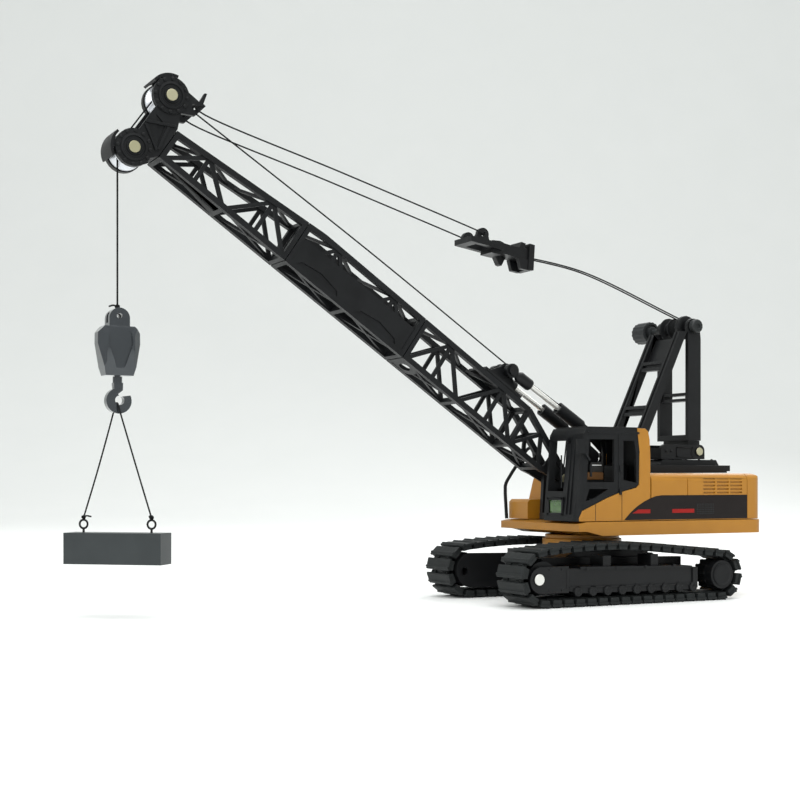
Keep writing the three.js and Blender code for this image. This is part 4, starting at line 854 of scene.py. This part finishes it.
# Side band on the cover: black sweep, red line in two runs and a fine mesh patch, on both sides
def makeBands():
    settings = {"wall": 32.0, "proud": 0.07, "rear": -73.2, "low": 37.3, "high": 48.5,
                "redLow": 40.3, "redHigh": 42.1,
                "mesh": {"x": -52.4, "z": 39.9, "columns": 11, "rows": 6, "across": 0.95, "up": 0.86,
                         "radius": 0.3}}
    sweep = [(-22.0, 48.5), (-18.6, 48.1), (-15.6, 47.2), (-12.0, 45.7), (-8.0, 43.5), (-4.2, 40.7),
             (-0.6, 37.3)]
    redLow, redHigh = settings["redLow"], settings["redHigh"]
    frontRun = [(-15.4, redLow), (-15.4, redHigh), (-8.6, redHigh), (-5.2, redLow)]
    rearRun = [(-41.0, redLow), (-41.0, redHigh), (-28.1, redHigh), (-28.1, redLow)]
    mesh = settings["mesh"]
    for side, word in ((1, "left"), (-1, "right")):
        wall, bandTop, markTop = (side * level for level in (
            settings["wall"], settings["wall"] + settings["proud"],
            settings["wall"] + 0.03 + 2 * settings["proud"]))
        bm = bmesh.new()
        addPrism(bm, [(settings["rear"], settings["low"]), (settings["rear"], settings["high"]), *sweep],
                 "y", wall, bandTop)
        bmToPiece(f"side_band_{word}", bm, "decal_black", "house", 0.0)
        bm = bmesh.new()
        for run in (frontRun, rearRun):
            addPrism(bm, run, "y", bandTop, markTop)
        bmToPiece(f"side_stripe_{word}", bm, "decal_red", "house", 0.0)
        bm = bmesh.new()
        for row in range(mesh["rows"]):
            for column in range(mesh["columns"]):
                x, z = mesh["x"] + column * mesh["across"], mesh["z"] + row * mesh["up"]
                addPrism(bm, circleOutline(x, z, mesh["radius"], 6), "y", bandTop, markTop)
        bmToPiece(f"side_mesh_{word}", bm, "knob_grey", "house", 0.0)


makeBands()


# Cab: pane frame, wiper, console cap, lever pair, hinges and trim, and two door seams
def makeCabDetail():
    bm = bmesh.new()
    for y, z in (((8.2, 9.8), (39.4, 47.6)), ((19.6, 21.0), (39.4, 47.6)),
                 ((8.2, 21.0), (39.4, 40.6)), ((8.2, 21.0), (46.4, 47.6))):
        addBox(bm, (24.7, 25.45), y, z)
    bmToPiece("pane_frame", bm, "black_plastic", "house", 0.18)
    bm = bmesh.new()
    addTurned(bm, [(0.9, 0), (0.9, 1.0), (0.5, 1.4), (0.0001, 1.5)], (22.4, 21.6, 72.8), "x", 16)
    addPrism(bm, [(21.2, 72.9), (21.9, 73.1), (18.9, 58.2), (18.4, 58.0)], "x", 23.4, 23.9)
    addPrism(bm, [(18.1, 66.8), (18.6, 66.8), (18.9, 52.0), (18.4, 52.0)], "x", 24.0, 24.5)
    bmToPiece("wiper", bm, "black_metal", "house", 0.08)
    bm = bmesh.new()
    addBox(bm, (3.4, 12.6), (16.8, 22.2), (55.4, 59.2))
    bmToPiece("console_cap", bm, "seat_brown", "house", 0.7, 3)
    bm = bmesh.new()
    for x, y in ((13.4, 12.0), (13.4, 20.0)):
        addTurned(bm, [(1.3, 0), (1.0, 0.8), (0.35, 1.4), (0.3, 8.6), (0.8, 9.0), (0.95, 10.2), (0.6, 11.2),
                       (0.0001, 11.4)], (x, y, 47.0), "z", 14)
    addBox(bm, (12, 15), (10, 22), (38.5, 47.2))
    bmToPiece("cab_levers", bm, "black_plastic", "house", 0.12)
    bm = bmesh.new()
    for x, z in ((1.6, 60.6), (1.6, 50.2)):
        addTurned(bm, [(0.7, -1.3), (0.7, 1.3)], (x, 32.35, z), "z", 12)
    addBox(bm, (17.6, 18.5), (32.0, 32.9), (57.0, 62.6))
    addBox(bm, (2.2, 2.6), (31.9, 32.25), (51.0, 77.0))
    addBox(bm, (-9.2, 19.4), (31.2, 32.3), (76.4, 77.4))
    addBox(bm, (-11.5, 19.0), (7.0, 30.6), (79.05, 79.6))
    bmToPiece("cab_trim", bm, "black_plastic", "house", 0.15)
    bm = bmesh.new()
    for x, top in ((15.2, 44.6), (0.6, 50.2)):
        addBox(bm, (x - 0.12, x + 0.12), (31.95, 32.06), (37.2, top))
    bmToPiece("cab_seams", bm, "black_plastic", "house", 0.0)


makeCabDetail()


# Undercarriage: roller caps, frame ribs, bolt heads and hub rings, as levels out from the middle
def makeTrackDetail():
    rollers = {"count": 9, "first": 31.0, "step": 8.0, "z": 6.6}
    rollerCap = [(2.1, 40.9), (2.1, 41.35), (1.5, 41.5), (1.2, 41.2), (0.7, 41.3), (0.0001, 41.3)]
    boltHead = [(0.55, 41.1), (0.5, 41.5), (0.0001, 41.55)]
    hubRing = [(4.6, 42.2), (4.9, 42.32), (4.6, 42.46), (3.4, 42.46), (3.2, 42.38), (0.0001, 42.38)]
    ribs = [([(x, 15.9), (x + 1.0, 15.9), (x + 1.0, 17.4), (x, 17.4)], 41.3, 41.8)
            for x in (26, 10, -6, -22)]
    ribs += [([(36.4, 8.2), (37.4, 8.2), (37.4, 16.6), (36.4, 16.6)], 40.4, 41.35),
             ([(-33.6, 6.8), (-32.6, 6.8), (-32.6, 15.4), (-33.6, 15.4)], 40.4, 41.3),
             ([(-32, 7.6), (35.6, 8.4), (35.6, 9.2), (-32, 8.4)], 40.5, 41.0)]
    for side, word in ((1, "left"), (-1, "right")):
        sided = lambda profile: [(radius, side * level) for radius, level in profile]
        bm = bmesh.new()
        for i in range(rollers["count"]):
            x = rollers["first"] - i * rollers["step"]
            addTurned(bm, sided(rollerCap), (x, 0, rollers["z"]), "y", 18)
        for outline, near, far in ribs:
            addPrism(bm, outline, "y", side * near, side * far)
        for x, z in ((39.6, 7.6), (39.6, 16.7), (46.0, 16.8), (46.0, 7.6)):
            addTurned(bm, sided(boltHead), (x, 0, z), "y", 10)
        bmToPiece(f"frame_detail_{word}", bm, "black_metal", "chassis", 0.1, 1)
        bm = bmesh.new()
        addTurned(bm, sided(hubRing), (sprocket["x"], 0, sprocket["z"]), "y", 32)
        bmToPiece(f"sprocket_hub_{word}", bm, "black_plastic", f"sprocket_{word}")


makeTrackDetail()


# Head: raised rings and rim studs on the discs, and ribs between them
def ringOfStuds(bm, s, n, side):
    studs = {"count": 12, "circle": 6.7}
    profile = [(0.75, side * 8.0), (0.7, side * 8.5), (0.4, side * 8.65), (0.0001, side * 8.65)]
    for s2, n2 in circleOutline(s, n, studs["circle"], studs["count"]):
        addTurned(bm, profile, (s2, 0, n2), "y", 10, boomTurn)


def makeHeadDetail():
    ribs = (((247.9, 3.4), (237.0, 9.8)), ((247.4, 2.6), (237.8, -3.4)), ((239.2, 7.6), (237.4, -2.8)))
    ribHalf = 0.55
    bm = bmesh.new()
    for n in (headPin["high"], headPin["low"]):
        for side in (1, -1):
            addTurned(bm, [(5.6, side * 8.0), (5.5, side * 8.55), (4.6, side * 8.7), (4.3, side * 8.2),
                           (3.3, side * 8.2), (3.1, side * 8.75), (2.5, side * 8.75), (2.5, side * 8.0)],
                      (headPin["s"], 0, n), "y", 36, boomTurn)
            ringOfStuds(bm, headPin["s"], n, side)
    bmToPiece("head_rings", bm, "black_plastic", "boom")
    bm = bmesh.new()
    for side in (1, -1):
        for a, b in ribs:
            direction = Vector((b[0] - a[0], 0, b[1] - a[1])).normalized()
            across = Vector((-direction.z, 0, direction.x)) * ribHalf
            addPrism(bm, [(a[0] + across.x, a[1] + across.z), (b[0] + across.x, b[1] + across.z),
                          (b[0] - across.x, b[1] - across.z), (a[0] - across.x, a[1] - across.z)],
                     "y", side * 7.5, side * 8.3, boomTurn)
    bmToPiece("head_ribs", bm, "black_plastic", "boom", 0.12)


# Drum windings: turns of rope side by side, each a half round on the drum
def windingProfile(radius, start, stop, thick):
    profile = []
    count = round((stop - start) / (2 * thick))
    for k in range(count):
        middle = start + (stop - start) * (k + 0.5) / count
        half = (stop - start) / count / 2
        for i in range(5):
            angle = math.pi * (1 - i / 4)
            profile.append((radius + thick * math.sin(angle), middle + half * math.cos(angle)))
    return [(radius - 0.3, start), *profile, (radius - 0.3, stop)]


def makeWindings():
    for name, body, radius, centre, low, high in (
            ("luffing_winding", "luffing_winch", 4.2, gantryAxle, -1.5, 3.7),
            ("hoist_winding", "hoist_winch", 3.2, winch, -3.8, 3.8)):
        bm = bmesh.new()
        addTurned(bm, windingProfile(radius, low, high, 0.35), centre, "y", 40)
        bmToPiece(name, bm, "string", body)


# Plinth under the posts: recess frames and rivets at both sides, and rivets along its deck
def makePlinthDetail():
    bm = bmesh.new()
    for y, step in ((7.2, 1), (-16.8, -1)):
        low, high = sorted((y, y + step * 0.35))
        for x in ((-60.6, -59.8), (-51.4, -50.6)):
            addBox(bm, x, (low, high), (66.6, 71.6))
        for z in ((66.6, 67.3), (70.9, 71.6)):
            addBox(bm, (-60.6, -50.6), (low, high), z)
        for x in (-47.6, -44.4):
            addTurned(bm, [(0.7, y), (0.6, y + step * 0.4), (0.0001, y + step * 0.45)], (x, 0, 69.6), "y", 14)
    for x in (-74.0, -66.0, -58.0, -50.0):
        for y in (-15.2, 5.6):
            addTurned(bm, [(0.6, 65.4), (0.5, 65.8), (0.0001, 65.85)], (x, y, 0), "z", 12)
    bmToPiece("plinth_detail", bm, "black_metal", "house", 0.1, 1)


makeHeadDetail()
makeWindings()
makePlinthDetail()
print("details made")

bpy.context.view_layer.update()
